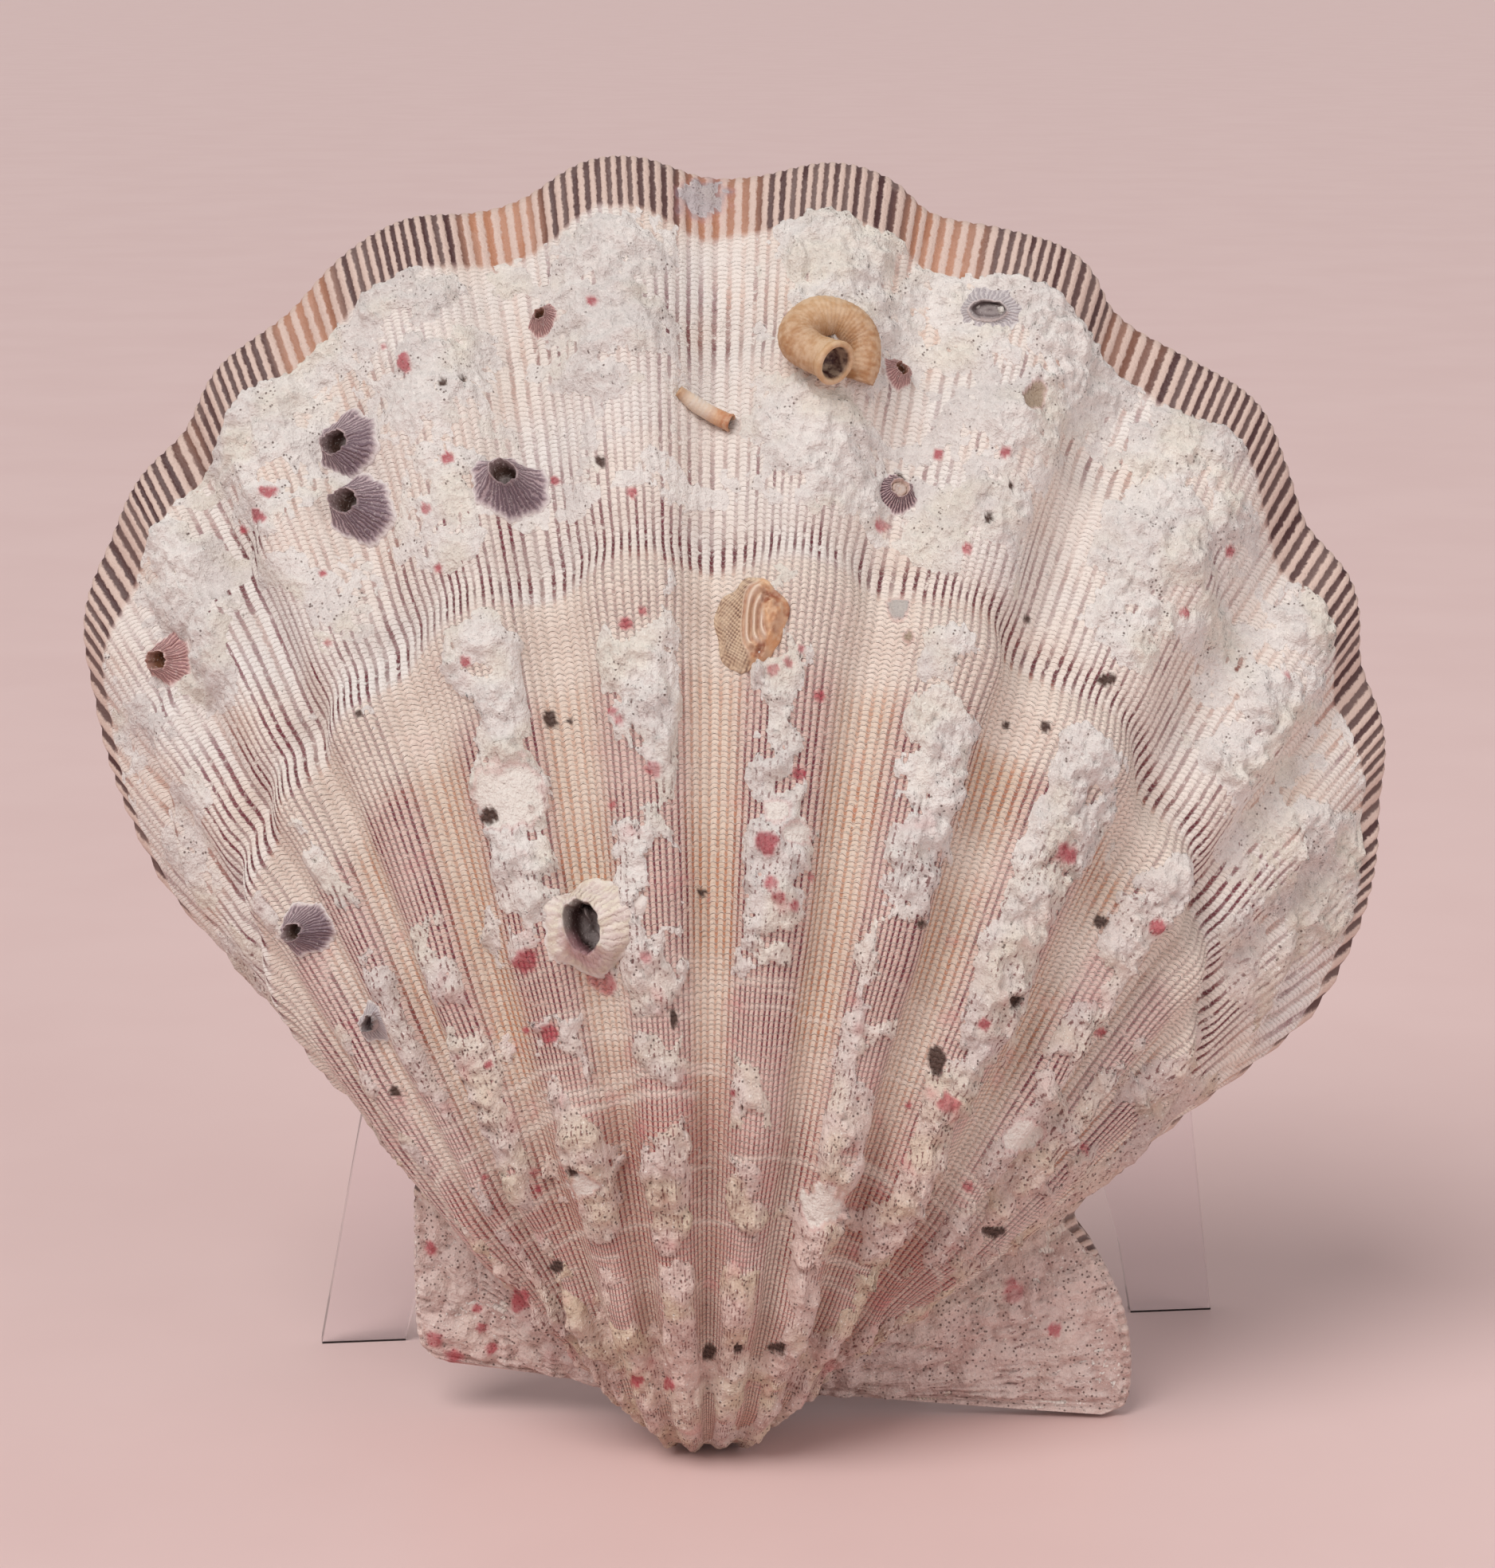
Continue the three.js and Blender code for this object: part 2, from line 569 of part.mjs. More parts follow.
function displayStand() {
  const back = toSolid(panel(backOutline(Math.hypot(RIDGE_HEIGHT, FEET_Y - RIDGE_Y)), FEET_Y));
  const front = toSolid(panel(tongueOutline(Math.hypot(RIDGE_HEIGHT, TONGUE_Y - RIDGE_Y)), TONGUE_Y));
  const bend = new THREE.CylinderGeometry(BEND_RADIUS, BEND_RADIUS, RIDGE_WIDTH, 12);
  bend.rotateZ(Math.PI / 2).translate(0, RIDGE_Y, RIDGE_HEIGHT);
  const below = new THREE.BoxGeometry(2 * FEET_SPAN, 2 * FEET_SPAN, FEET_SPAN);
  below.translate(0, 0, -FEET_SPAN / 2);
  return toSolid(toGeometry(back.add(front).add(toSolid(bend)).subtract(toSolid(below)))
    .rotateZ(rad(STAND_TURN_DEG)).translate(STAND_X, 0, 0));
}

// The standing pose and the nodes.
const part = new THREE.Group();
part.name = 'lion_paw_scallop';

// From the valve's own frame to the leaning pose.
const leaning = new THREE.Matrix4().makeRotationX(-rad(LEAN_DEG));
const nodes = [];

function addNode(name, geometry, colour, roughness, opacity = 1) {
  nodes.push({ name, geometry, colour, roughness, opacity });
}

const block = valveBlock();
const valve = toSolid(block).subtract(toSolid(hollowBlock()));
const seat = toSolid(valveBlock(SEAT_GAP));
addNode('scallop_valve', toGeometry(valve), 0xd8cdc6, 0.75);

// Barnacles: direction and stage on the valve, radius, height, mouth as a share of the radius.
const BARNACLES = [
  ['barnacle_large', [-9.6, 0.495], 4.6, 3.7, 0.5],
  ['barnacle_upper_left_1', [-19.8, 0.871], 3.5, 2.9, 0.38],
  ['barnacle_upper_left_2', [-20.1, 0.82], 3.4, 2.9, 0.38],
  ['barnacle_upper_left_3', [-11.4, 0.782], 3.4, 2.9, 0.4],
  ['barnacle_left_edge', [-35.1, 0.876], 2.6, 2, 0.45],
  ['barnacle_left_low', [-36, 0.626], 2.6, 2, 0.42],
  ['barnacle_left_small', [-34.5, 0.529], 1.9, 1.6, 0.45],
  ['barnacle_top_small', [-8.3, 0.898], 1.7, 1.4, 0.4],
  ['barnacle_right_upper', [10.3, 0.866], 1.8, 1.5, 0.45],
  ['barnacle_right_filled', [11.4, 0.782], 2, 1.4, 0.5],
  ['barnacle_right_crushed', [14.5, 0.93], 3.4, 1.3, 0.5],
];
for (const [name, at, radius, height, mouth] of BARNACLES) {
  addNode(name, toGeometry(toSolid(barnacle(at, radius, height, mouth)).subtract(seat)), 0x8d7b86, 0.7);
}

const TAN = 0xc8a578;
const PALE_TAN = 0xe0c8b0;
addNode('worm_tube_coiled', toGeometry(toSolid(tube(COILED_TUBE)).subtract(seat)), TAN, 0.6);
addNode('worm_tube_small', toGeometry(toSolid(tube(SMALL_TUBE)).subtract(seat)), PALE_TAN, 0.6);
addNode('worm_tube_flattened', toGeometry(toSolid(drapedMound(FLATTENED_TUBE)).subtract(seat)), TAN, 0.7);

for (const node of nodes) node.geometry.applyMatrix4(leaning);
const lowest = Math.min(...nodes.map(({ geometry }) => {
  geometry.computeBoundingBox();
  return geometry.boundingBox.min.z;
}));
for (const node of nodes) node.geometry.translate(0, 0, -lowest);
addNode('display_stand', toGeometry(displayStand()), 0xe6edf2, 0.05, 0.35);

// Stand the whole on the origin: floor at z = 0, the outer box centred on x and y.
const box = new THREE.Box3();
for (const { geometry } of nodes) {
  geometry.computeBoundingBox();
  box.union(geometry.boundingBox);
}
for (const { name, geometry, colour, roughness, opacity } of nodes) {
  geometry.translate(-(box.min.x + box.max.x) / 2, -(box.min.y + box.max.y) / 2, 0);
  geometry.computeVertexNormals();
  const material = new THREE.MeshStandardMaterial({
    color: colour, roughness, metalness: 0, transparent: opacity < 1, opacity, flatShading: true,
  });
  const mesh = new THREE.Mesh(geometry, material);
  mesh.name = name;
  part.add(mesh);
}

export default part;
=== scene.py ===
"""One encrusted lion paw scallop valve on a clear folded stand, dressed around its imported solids."""
import math
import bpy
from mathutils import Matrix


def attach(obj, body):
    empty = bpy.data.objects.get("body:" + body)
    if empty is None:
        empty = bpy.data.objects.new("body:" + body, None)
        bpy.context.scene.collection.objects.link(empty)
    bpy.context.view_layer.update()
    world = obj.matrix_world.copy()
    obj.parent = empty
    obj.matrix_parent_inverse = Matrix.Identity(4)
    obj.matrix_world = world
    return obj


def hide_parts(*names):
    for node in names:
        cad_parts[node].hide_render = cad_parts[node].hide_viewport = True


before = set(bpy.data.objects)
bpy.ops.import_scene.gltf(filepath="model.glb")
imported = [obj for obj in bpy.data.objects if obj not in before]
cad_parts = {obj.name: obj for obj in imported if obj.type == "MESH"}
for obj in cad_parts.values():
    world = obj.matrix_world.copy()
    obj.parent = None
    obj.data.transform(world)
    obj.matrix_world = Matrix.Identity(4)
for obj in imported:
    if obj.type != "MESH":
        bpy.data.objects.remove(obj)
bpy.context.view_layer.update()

from types import SimpleNamespace

import bpy
import numpy as np
from mathutils import Vector

# Driving dimensions, mm and degrees
SHELL_HEIGHT = 138.6
LEAN_DEG = 9.0
COIL_RATE = 1.2
BULGE = 0.76
COIL_STRAIGHT = 1.35
COIL_END = 1.95
BEAK_SIZE = 0.02
MARGIN_THICKNESS = 1.4
EAR_THICKNESS = 3.0
WALL = 4.2
RIB_HEIGHT = 4.4
BEAK_TAPER = 2.4
BEAK_FILL = 0.82                    # valleys at the beak, as a share of the ribs
EVEN_RIM = 0.75
MAIN_RING = 0.705
OUTER_RING = 0.86
HINGE_PLATE = 10.0
HOLLOW_CENTRE = (3.0, 62.0)
PLACE = (-3.286, -3.3794, 2.7318)    # the valve's hinge middle in the standing frame

MARGIN_POINTS = [
    (-29.5, 3.2), (-32.4, 5), (-33.3, 12), (-33.4, 20), (-33.8, 27),
    (-39, 34.2), (-46.5, 42.6), (-54, 50.5), (-61.8, 58.9), (-66, 67.8),
    (-69.2, 79.2), (-69.8, 88.1), (-67.4, 96), (-63, 103.5), (-58, 109.4),
    (-54, 115.3), (-47.5, 121), (-40.5, 127.7), (-33.5, 131.5), (-26.5, 132.7),
    (-20, 134.6), (-13, 138.2), (-8, SHELL_HEIGHT), (-1, 137), (6, 136.9),
    (14.7, 138), (20, 136.6), (24.5, 133.3), (33, 130.9), (41, 127.7),
    (45, 122.3), (53.5, 116.8), (61, 111.7), (64.5, 105.4), (67.4, 98.6),
    (72, 92.3), (73.6, 84.2), (76.3, 75.7), (76.5, 68.3), (75.7, 58.9),
    (73.8, 52), (70, 44.8), (64, 39.4), (56, 33.3), (49, 27),
    (42.2, 20.3), (44.3, 16.8), (47.6, 10), (48.6, 3), (47.8, -1.6), (45.5, -2.7),
]
RIBS = np.array([
    (-43.4, 0.25), (-38.2, 0.5), (-31.7, 0.75), (-24.8, 0.95), (-14.5, 1),
    (-4.1, 0.95), (5.8, 0.9), (16.9, 1), (28.5, 0.95), (39.2, 0.75), (45.9, 0.5), (51.5, 0.3),
])
VALLEYS = np.array([-46.2, -40.9, -34.8, -28.4, -20.4, -9.9, 0.7, 11.5, 22.1, 34.2, 42.2, 48.8, 56])
EDGE_LEFT = -50.5
EDGE_RIGHT = 63.5

# Camera of the photograph
PHOTO_W, PHOTO_H = 1876, 1968
SENSOR = 36.0
CAMERA_ELEVATION_DEG = 11.5
CAMERA_DISTANCE = 480.0             # from the hinge middle, along the view
MM_PER_PIXEL = 0.0915               # at the hinge middle
HINGE_PIXEL = (886.0, 1739.0)


def photo_camera():
    """Camera position in mm, its forward, up and right vectors, and its focal length in pixels."""
    e = math.radians(CAMERA_ELEVATION_DEG)
    forward = np.array([0.0, math.cos(e), -math.sin(e)])
    up = np.array([0.0, math.sin(e), math.cos(e)])
    right = np.array([1.0, 0.0, 0.0])
    across = (HINGE_PIXEL[0] - PHOTO_W / 2) * MM_PER_PIXEL
    down = (HINGE_PIXEL[1] - PHOTO_H / 2) * MM_PER_PIXEL
    position = np.array(PLACE) - CAMERA_DISTANCE * forward - across * right + down * up
    return position, forward, up, right, CAMERA_DISTANCE / MM_PER_PIXEL


EYE, FORWARD, UP, RIGHT, FOCAL = photo_camera()


def stand_up(points):
    """From the valve's own frame to the standing pose, mm."""
    c, s = math.cos(math.radians(LEAN_DEG)), math.sin(math.radians(LEAN_DEG))
    x, y, z = points[..., 0], points[..., 1], points[..., 2]
    return np.stack([x, y * c + z * s, z * c - y * s], -1) + np.array(PLACE)


def photo_pixels(points):
    """Where points of the standing pose fall in the photograph."""
    d = points - EYE
    depth = d @ FORWARD
    return np.stack([PHOTO_W / 2 + FOCAL * (d @ RIGHT) / depth, PHOTO_H / 2 - FOCAL * (d @ UP) / depth], -1)


# Helpers on arrays
def rise(x, a, b):
    """Smooth step from 0 at a to 1 at b, whichever of the two is larger."""
    t = np.clip((x - a) / (b - a), 0.0, 1.0)
    return t * t * (3.0 - 2.0 * t)


def bell(x, centre, width):
    return np.exp(-((x - centre) / width) ** 2)


def lerp(a, b, t):
    return a + (b - a) * t


def cell_hash(ix, iy, iz, seed):
    n = (ix.astype(np.int64) * 374761393 + iy.astype(np.int64) * 668265263
         + iz.astype(np.int64) * 1440662683 + seed * 974634777)
    n = (n ^ (n >> 13)) & 0x7FFFFFFF
    n = (n * 1274126177) & 0x7FFFFFFFFFFF
    n = (n ^ (n >> 16)) & 0xFFFFFF
    return n / float(0xFFFFFF)


def noise(points, size, seed):
    """Smooth value noise from -1 to 1 whose lumps are about `size` mm."""
    p = points / size
    base = np.floor(p)
    f = p - base
    f = f * f * (3.0 - 2.0 * f)
    base = base.astype(np.int64)
    total = np.zeros(points.shape[:-1])
    for dx in (0, 1):
        for dy in (0, 1):
            for dz in (0, 1):
                weight = (np.where(dx, f[..., 0], 1 - f[..., 0]) * np.where(dy, f[..., 1], 1 - f[..., 1])
                          * np.where(dz, f[..., 2], 1 - f[..., 2]))
                total += weight * cell_hash(base[..., 0] + dx, base[..., 1] + dy, base[..., 2] + dz, seed)
    return 2.0 * total - 1.0


def fractal(points, size, octaves, seed, gain=0.5):
    total = np.zeros(points.shape[:-1])
    strength, norm = 1.0, 0.0
    for octave in range(octaves):
        total += strength * noise(points, size / 2 ** octave, seed + 17 * octave)
        norm += strength
        strength *= gain
    return total / norm


def srgb(r, g, b):
    """Linear colour of 8-bit sRGB values."""
    c = np.array([r, g, b]) / 255.0
    return np.where(c <= 0.04045, c / 12.92, ((c + 0.055) / 1.055) ** 2.4)


# The valve as a formula
def spline(points, count):
    """Centripetal curve through the points, sampled at count + 1 places."""
    p = np.array(points, float)
    n = len(p)
    out = []
    for i in range(count + 1):
        t = (n - 1) * i / count
        k = min(int(t), n - 2)
        w = t - k
        p0 = p[k - 1] if k > 0 else 2 * p[0] - p[1]
        p1, p2 = p[k], p[k + 1]
        p3 = p[k + 2] if k + 2 < n else 2 * p[-1] - p[-2]
        d0, d1, d2 = [max(((b - a) ** 2).sum() ** 0.25, 1e-4) for a, b in ((p0, p1), (p1, p2), (p2, p3))]
        t1 = ((p1 - p0) / d0 - (p2 - p0) / (d0 + d1) + (p2 - p1) / d1) * d1
        t2 = ((p2 - p1) / d1 - (p3 - p1) / (d1 + d2) + (p3 - p2) / d2) * d1
        a = 2 * p1 - 2 * p2 + t1 + t2
        b = -3 * p1 + 3 * p2 - 2 * t1 - t2
        out.append(p1 + t1 * w + b * w * w + a * w ** 3)
    return np.array(out)


MARGIN_SAMPLES = 3000
MARGIN = spline(MARGIN_POINTS, MARGIN_SAMPLES)
MARGIN_DIRECTION = np.maximum.accumulate(np.degrees(np.arctan2(MARGIN[:, 0], MARGIN[:, 1])))
MARGIN_DIRECTION = MARGIN_DIRECTION + np.arange(MARGIN_SAMPLES + 1) * 2e-5
MARGIN_RADIUS = np.hypot(MARGIN[:, 0], MARGIN[:, 1])
MARGIN_LENGTH = np.concatenate([[0], np.cumsum(np.hypot(*np.diff(MARGIN, axis=0).T))])


def margin_radius(direction):
    """Distance of the margin from the hinge middle, mm."""
    return np.interp(direction, MARGIN_DIRECTION, MARGIN_RADIUS)


def coil(stage):
    """Angle by which the face at a growth stage is coiled back from the margin, radians."""
    angle = -np.log(stage) / COIL_RATE
    rest = COIL_END - COIL_STRAIGHT
    return np.where(angle < COIL_STRAIGHT, angle,
                    COIL_STRAIGHT + rest * (1 - np.exp(-np.maximum(angle - COIL_STRAIGHT, 0) / rest)))


def disc_share(direction):
    """One on the disc, none on the ears."""
    left = rise(direction, EDGE_LEFT - 8, EDGE_LEFT + 5)
    return np.minimum(left, rise(direction, EDGE_RIGHT + 8, EDGE_RIGHT - 5))


def smooth_face(direction, stage):
    """Outer face without ribs or rings, in the valve's own frame."""
    radius = margin_radius(direction)
    x = radius * np.sin(np.radians(direction))
    z = radius * np.cos(np.radians(direction))
    angle = coil(stage)
    wall = lerp(EAR_THICKNESS, MARGIN_THICKNESS, disc_share(direction) * rise(stage, 0.5, 0.95))
    return np.stack([stage * x, -BULGE * stage * z * np.sin(angle) - wall, stage * z * np.cos(angle)], -1)


PHASE_AT = np.ravel(np.column_stack([VALLEYS[:-1], RIBS[:, 0]])).tolist() + [VALLEYS[-1]]
PHASE_IS = np.ravel(np.column_stack([np.arange(12) - 0.5, np.arange(12.0)])).tolist() + [11.5]


def rib_phase(direction):
    """Whole numbers on rib crests, halves in the valleys."""
    return np.interp(direction, PHASE_AT, PHASE_IS)


def rib_share(direction):
    return RIBS[np.clip(np.round(rib_phase(direction)).astype(int), 0, len(RIBS) - 1), 1]


def rib_crest(direction):
    return (0.5 + 0.5 * np.cos(2 * np.pi * rib_phase(direction))) ** 0.8


# Knobs on the ribs: growth stage, height in mm and half length as a share of the growth.
KNOBS = [(0.12, 1.7, 0.045), (0.17, 0.9, 0.016), (0.25, 1.5, 0.024), (0.36, 1.7, 0.03), (0.5, 1.2, 0.035),
         (MAIN_RING - 0.03, 0.9, 0.03), (OUTER_RING - 0.02, 0.6, 0.03)]


def rib_strength(stage):
    """Height of a full rib at a growth stage, mm."""
    return RIB_HEIGHT * stage ** 0.75 * (1 - 0.25 * rise(stage, 0.85, 1))


def even_reach(direction, stage):
    """How much further out the valleys reach at the rim, which is only gently scalloped."""
    share = np.interp(rib_phase(direction), np.arange(len(RIBS)), RIBS[:, 1])
    missing = np.maximum(0, share - rib_share(direction) * rib_crest(direction))
    return EVEN_RIM * disc_share(direction) * rib_strength(stage) * missing * rise(stage, 0.85, 1)


def beak_taper(direction, stage):
    """How far the sides of the beak lie below the coil."""
    sides = rise(np.abs(direction - 2), 10, 35) * rise(stage, 0.45, 0.22) * rise(stage, 0.03, 0.14)
    return BEAK_TAPER * disc_share(direction) * sides


def relief(direction, stage):
    """Height of ribs, rings and knobs over the smooth face, mm."""
    crest = rib_share(direction) * rib_crest(direction)
    # Ribs merge into one rounded beak.
    merged = BEAK_FILL * np.interp(rib_phase(direction), np.arange(len(RIBS)), RIBS[:, 1])
    crest = lerp(crest, np.maximum(crest, merged), rise(stage, 0.24, 0.11))
    strength = rib_strength(stage)
    rings = (0.9 * (bell(stage, MAIN_RING - 0.012, 0.018) - bell(stage, MAIN_RING + 0.018, 0.014))
             + 0.5 * (bell(stage, OUTER_RING - 0.012, 0.016) - bell(stage, OUTER_RING + 0.014, 0.012)))
    knobs = crest * sum(h * bell(stage, c, w) for c, h, w in KNOBS)
    return disc_share(direction) * (strength * crest + rings + knobs) - beak_taper(direction, stage)


def ribs_alone(direction, stage):
    """Height of the ribs without rings, knobs or the merged beak, mm."""
    return disc_share(direction) * rib_strength(stage) * rib_share(direction) * rib_crest(direction)


def face_normal(direction, stage):
    across = smooth_face(direction + 0.05, stage) - smooth_face(direction - 0.05, stage)
    along = smooth_face(direction, stage * 1.005) - smooth_face(direction, stage * 0.995)
    n = np.cross(across, along)
    return n / np.linalg.norm(n, axis=-1, keepdims=True)


def wall_share(direction, stage):
    """Thickness of the wall square to the face, as a share of its thickness seen square on."""
    return np.clip(-1.15 * face_normal(direction, stage)[..., 1] - 0.1, 0.2, 1.0)


# Riblets: their spacing at the margin is wider in the valleys than on the crests.
RIBLET_SPACING = 1.42
RIBLET_SWING = 0.36


def riblet_coordinate(direction):
    """Counts riblets across the face: whole numbers in the grooves between them."""
    step = np.diff(MARGIN_LENGTH)
    middle = 0.5 * (MARGIN_DIRECTION[1:] + MARGIN_DIRECTION[:-1])
    crest = 0.5 + 0.5 * np.cos(2 * np.pi * rib_phase(middle))
    on_disc = disc_share(middle)
    spacing = RIBLET_SPACING + RIBLET_SWING * (1 - 2 * crest) * on_disc - 0.2 * (1 - on_disc)
    # On the steep flanks the margin runs nearly along the growth direction: count by direction there.
    turning = np.radians(np.diff(MARGIN_DIRECTION)) * MARGIN_RADIUS[1:]
    count = np.concatenate([[0], np.cumsum(np.maximum(turning, 0.35 * step) / spacing)])
    return np.interp(direction, MARGIN_DIRECTION, count)


def low_flank(direction):
    """One on the ears and on the lowest flanks of the disc, where the shell is pebbled all over."""
    return np.maximum(rise(direction, -41, -48), rise(direction, 46, 56))


def riblets(direction, stage):
    """Height of the riblets in mm."""
    wave = 0.5 - 0.5 * np.cos(2 * np.pi * riblet_coordinate(direction))
    size = (0.3 * stage + 0.05) * (1 + 0.7 * low_flank(direction))
    return size * (wave ** 0.7 - 0.5) * rise(stage, 0.06, 0.2)


# Where the photograph shows crust, spots, holes and worn places
# Crust as ellipses in photograph pixels: x, y, half width, half height, thickness in mm.
CRUST_PATCHES = [
    # lobes at the rim, left to right
    (215, 700, 50, 45, 0.8), (215, 770, 60, 50, 0.7), (255, 850, 60, 45, 0.7), (190, 900, 40, 60, 0.5),
    (330, 500, 60, 50, 0.8), (300, 580, 60, 45, 0.7), (395, 440, 60, 45, 0.6), (330, 640, 50, 50, 0.5),
    (520, 370, 75, 45, 0.9), (570, 450, 80, 50, 0.6), (520, 500, 50, 40, 0.5), (640, 350, 40, 40, 0.4),
    (560, 600, 60, 60, 0.5), (755, 310, 75, 50, 1.0), (770, 400, 70, 60, 0.9), (760, 470, 55, 35, 0.6),
    (1050, 315, 95, 55, 1.1), (1060, 390, 80, 60, 0.9), (1010, 540, 70, 70, 0.6), (1060, 600, 70, 60, 0.6),
    (1170, 360, 50, 35, 0.5), (1310, 365, 75, 55, 1.1), (1330, 440, 60, 50, 1.0), (1250, 440, 60, 40, 0.6),
    (1290, 520, 60, 50, 0.5), (1240, 630, 60, 60, 0.5), (1180, 690, 50, 50, 0.5), (1400, 480, 50, 45, 0.7),
    (1530, 560, 50, 60, 1.0), (1470, 560, 60, 60, 0.9), (1540, 650, 45, 50, 0.7), (1450, 680, 90, 80, 0.9),
    (1420, 780, 60, 60, 0.7), (1500, 800, 50, 40, 0.4), (1650, 780, 45, 55, 1.0), (1610, 870, 60, 60, 0.9),
    (1550, 950, 50, 50, 0.8), (1700, 980, 25, 50, 0.8), (1660, 1050, 55, 60, 0.9),
    (1620, 1130, 60, 50, 0.7), (1560, 1180, 50, 50, 0.5), (1670, 1160, 30, 40, 0.5),
    # on the ribs inside the main ring
    (580, 870, 40, 40, 0.7), (640, 1000, 50, 60, 1.2), (640, 1110, 45, 60, 1.1), (650, 1180, 40, 40, 0.8),
    (690, 1250, 40, 50, 0.9), (720, 1340, 40, 50, 0.8), (730, 1450, 45, 50, 1.3), (745, 1530, 40, 50, 1.3),
    (800, 850, 35, 45, 0.7), (800, 930, 40, 40, 0.7), (800, 1050, 35, 40, 0.5), (810, 1130, 35, 30, 0.5),
    (810, 1240, 50, 50, 1.0), (830, 1330, 30, 40, 0.7), (840, 1440, 30, 50, 0.9), (835, 1540, 30, 50, 0.9),
    (1000, 860, 45, 30, 0.9), (985, 920, 35, 50, 0.9), (975, 990, 50, 50, 0.9), (975, 1070, 50, 50, 0.8),
    (975, 1140, 50, 40, 0.8), (960, 1200, 45, 25, 0.6), (945, 1400, 35, 50, 0.6), (940, 1500, 35, 60, 0.8),
    (1180, 900, 45, 50, 0.7), (1160, 980, 45, 50, 1.1), (1150, 1060, 45, 50, 1.1),
    (1140, 1130, 50, 40, 0.9), (1100, 1220, 40, 60, 0.9), (1070, 1330, 30, 60, 0.6),
    (1040, 1440, 30, 60, 0.8), (1020, 1530, 35, 50, 1.1), (1370, 960, 40, 40, 0.7),
    (1350, 1040, 50, 60, 1.1), (1300, 1130, 50, 60, 1.2), (1270, 1210, 45, 50, 1.0),
    (1240, 1290, 45, 50, 0.9), (1200, 1370, 45, 50, 1.0), (1170, 1450, 40, 50, 1.0),
    (1110, 1560, 55, 60, 1.4), (1470, 1090, 40, 50, 0.6), (1420, 1180, 45, 50, 0.8),
    (1350, 1290, 50, 45, 0.8), (1290, 1400, 50, 45, 1.1), (1270, 1470, 45, 50, 1.3),
    (1390, 1370, 40, 40, 1.2), (1200, 1550, 70, 50, 1.0), (420, 1090, 45, 60, 0.6),
    (500, 1230, 40, 50, 0.5), (560, 1230, 40, 50, 0.6), (600, 1330, 40, 50, 0.7), (640, 1430, 40, 50, 0.9),
]

# Ellipses in photograph pixels that the crust leaves bare: x, y, half width, half height.
BARE_PATCHES = [
    (965, 1275, 42, 75), (1020, 885, 32, 60), (945, 1430, 26, 40), (932, 1572, 36, 18), (790, 970, 24, 60),
    (835, 1110, 26, 60), (790, 740, 45, 60), (1130, 1180, 34, 40), (1115, 1245, 34, 40),
    (1105, 1340, 34, 34), (690, 1245, 44, 40), (520, 1050, 60, 110), (440, 1000, 60, 110),
    (560, 920, 40, 60), (1030, 760, 60, 50), (1480, 1000, 40, 60), (1250, 860, 60, 50), (900, 300, 50, 130),
    (900, 440, 50, 60), (690, 560, 40, 60), (340, 830, 60, 90), (330, 960, 70, 90), (1180, 1290, 30, 40),
    (1210, 1440, 26, 34), (750, 1575, 30, 20), (880, 560, 40, 40), (1130, 520, 40, 40), (1150, 760, 60, 30),
    (1350, 640, 40, 60), (480, 620, 24, 70),
]

# Coralline spots: x, y, radius in photograph pixels.
SPOTS = [
    (508, 458, 9), (482, 436, 4), (745, 382, 6), (340, 618, 9), (326, 648, 8), (306, 666, 5), (563, 574, 8),
    (538, 638, 7), (698, 603, 6), (405, 720, 5), (413, 807, 6), (550, 714, 6), (585, 830, 7), (793, 618, 7),
    (785, 783, 7), (807, 768, 5), (770, 893, 6), (778, 905, 6), (820, 965, 10), (768, 1010, 5),
    (1030, 873, 8), (970, 843, 8), (990, 833, 7), (1005, 815, 5), (1003, 970, 9), (965, 1060, 14),
    (968, 1110, 8), (975, 1125, 9), (995, 1138, 7), (1018, 1102, 4), (1335, 1070, 12), (1445, 1162, 9),
    (1232, 1283, 7), (1185, 1382, 13), (690, 1298, 11), (660, 1293, 4), (615, 1335, 5), (672, 1470, 5),
    (675, 1492, 5), (608, 1477, 3), (813, 1200, 6), (660, 1205, 16), (543, 1565, 8), (545, 1680, 12),
    (570, 1700, 12), (655, 1630, 12), (600, 1640, 6), (605, 1665, 6), (618, 1690, 7), (1270, 1620, 14),
    (1320, 1665, 8), (1260, 570, 7), (1177, 570, 7), (1213, 690, 6), (1105, 660, 9), (1545, 692, 7),
    (1485, 770, 6), (1612, 848, 5), (800, 1730, 8), (840, 1735, 8), (920, 1370, 4), (1140, 1388, 5),
    (1380, 1295, 7), (1360, 1440, 6), (1215, 1490, 8), (750, 1225, 16), (765, 1235, 14),
]

# Bore holes and gaps: x, y, half width, half height in photograph pixels.
HOLES = [
    (1386, 853, 11, 8), (1262, 912, 5, 5), (1311, 912, 6, 6), (1380, 1157, 9, 8), (1176, 1333, 10, 20),
    (1245, 1545, 18, 8), (497, 1370, 7, 7), (1270, 1255, 7, 7), (720, 1470, 6, 6), (755, 580, 6, 6),
    (555, 482, 5, 5), (582, 478, 4, 4), (1240, 652, 5, 5), (450, 895, 4, 4), (880, 1120, 5, 4),
    (890, 1695, 9, 12), (975, 1690, 10, 6), (700, 1590, 10, 10), (613, 1023, 11, 9), (690, 905, 8, 14),
    (1245, 398, 8, 10), (1155, 1160, 6, 5), (925, 1690, 5, 5), (1268, 610, 4, 4), (1288, 777, 6, 6),
    (715, 905, 5, 4), (845, 1280, 5, 14), (1130, 600, 5, 5),
]

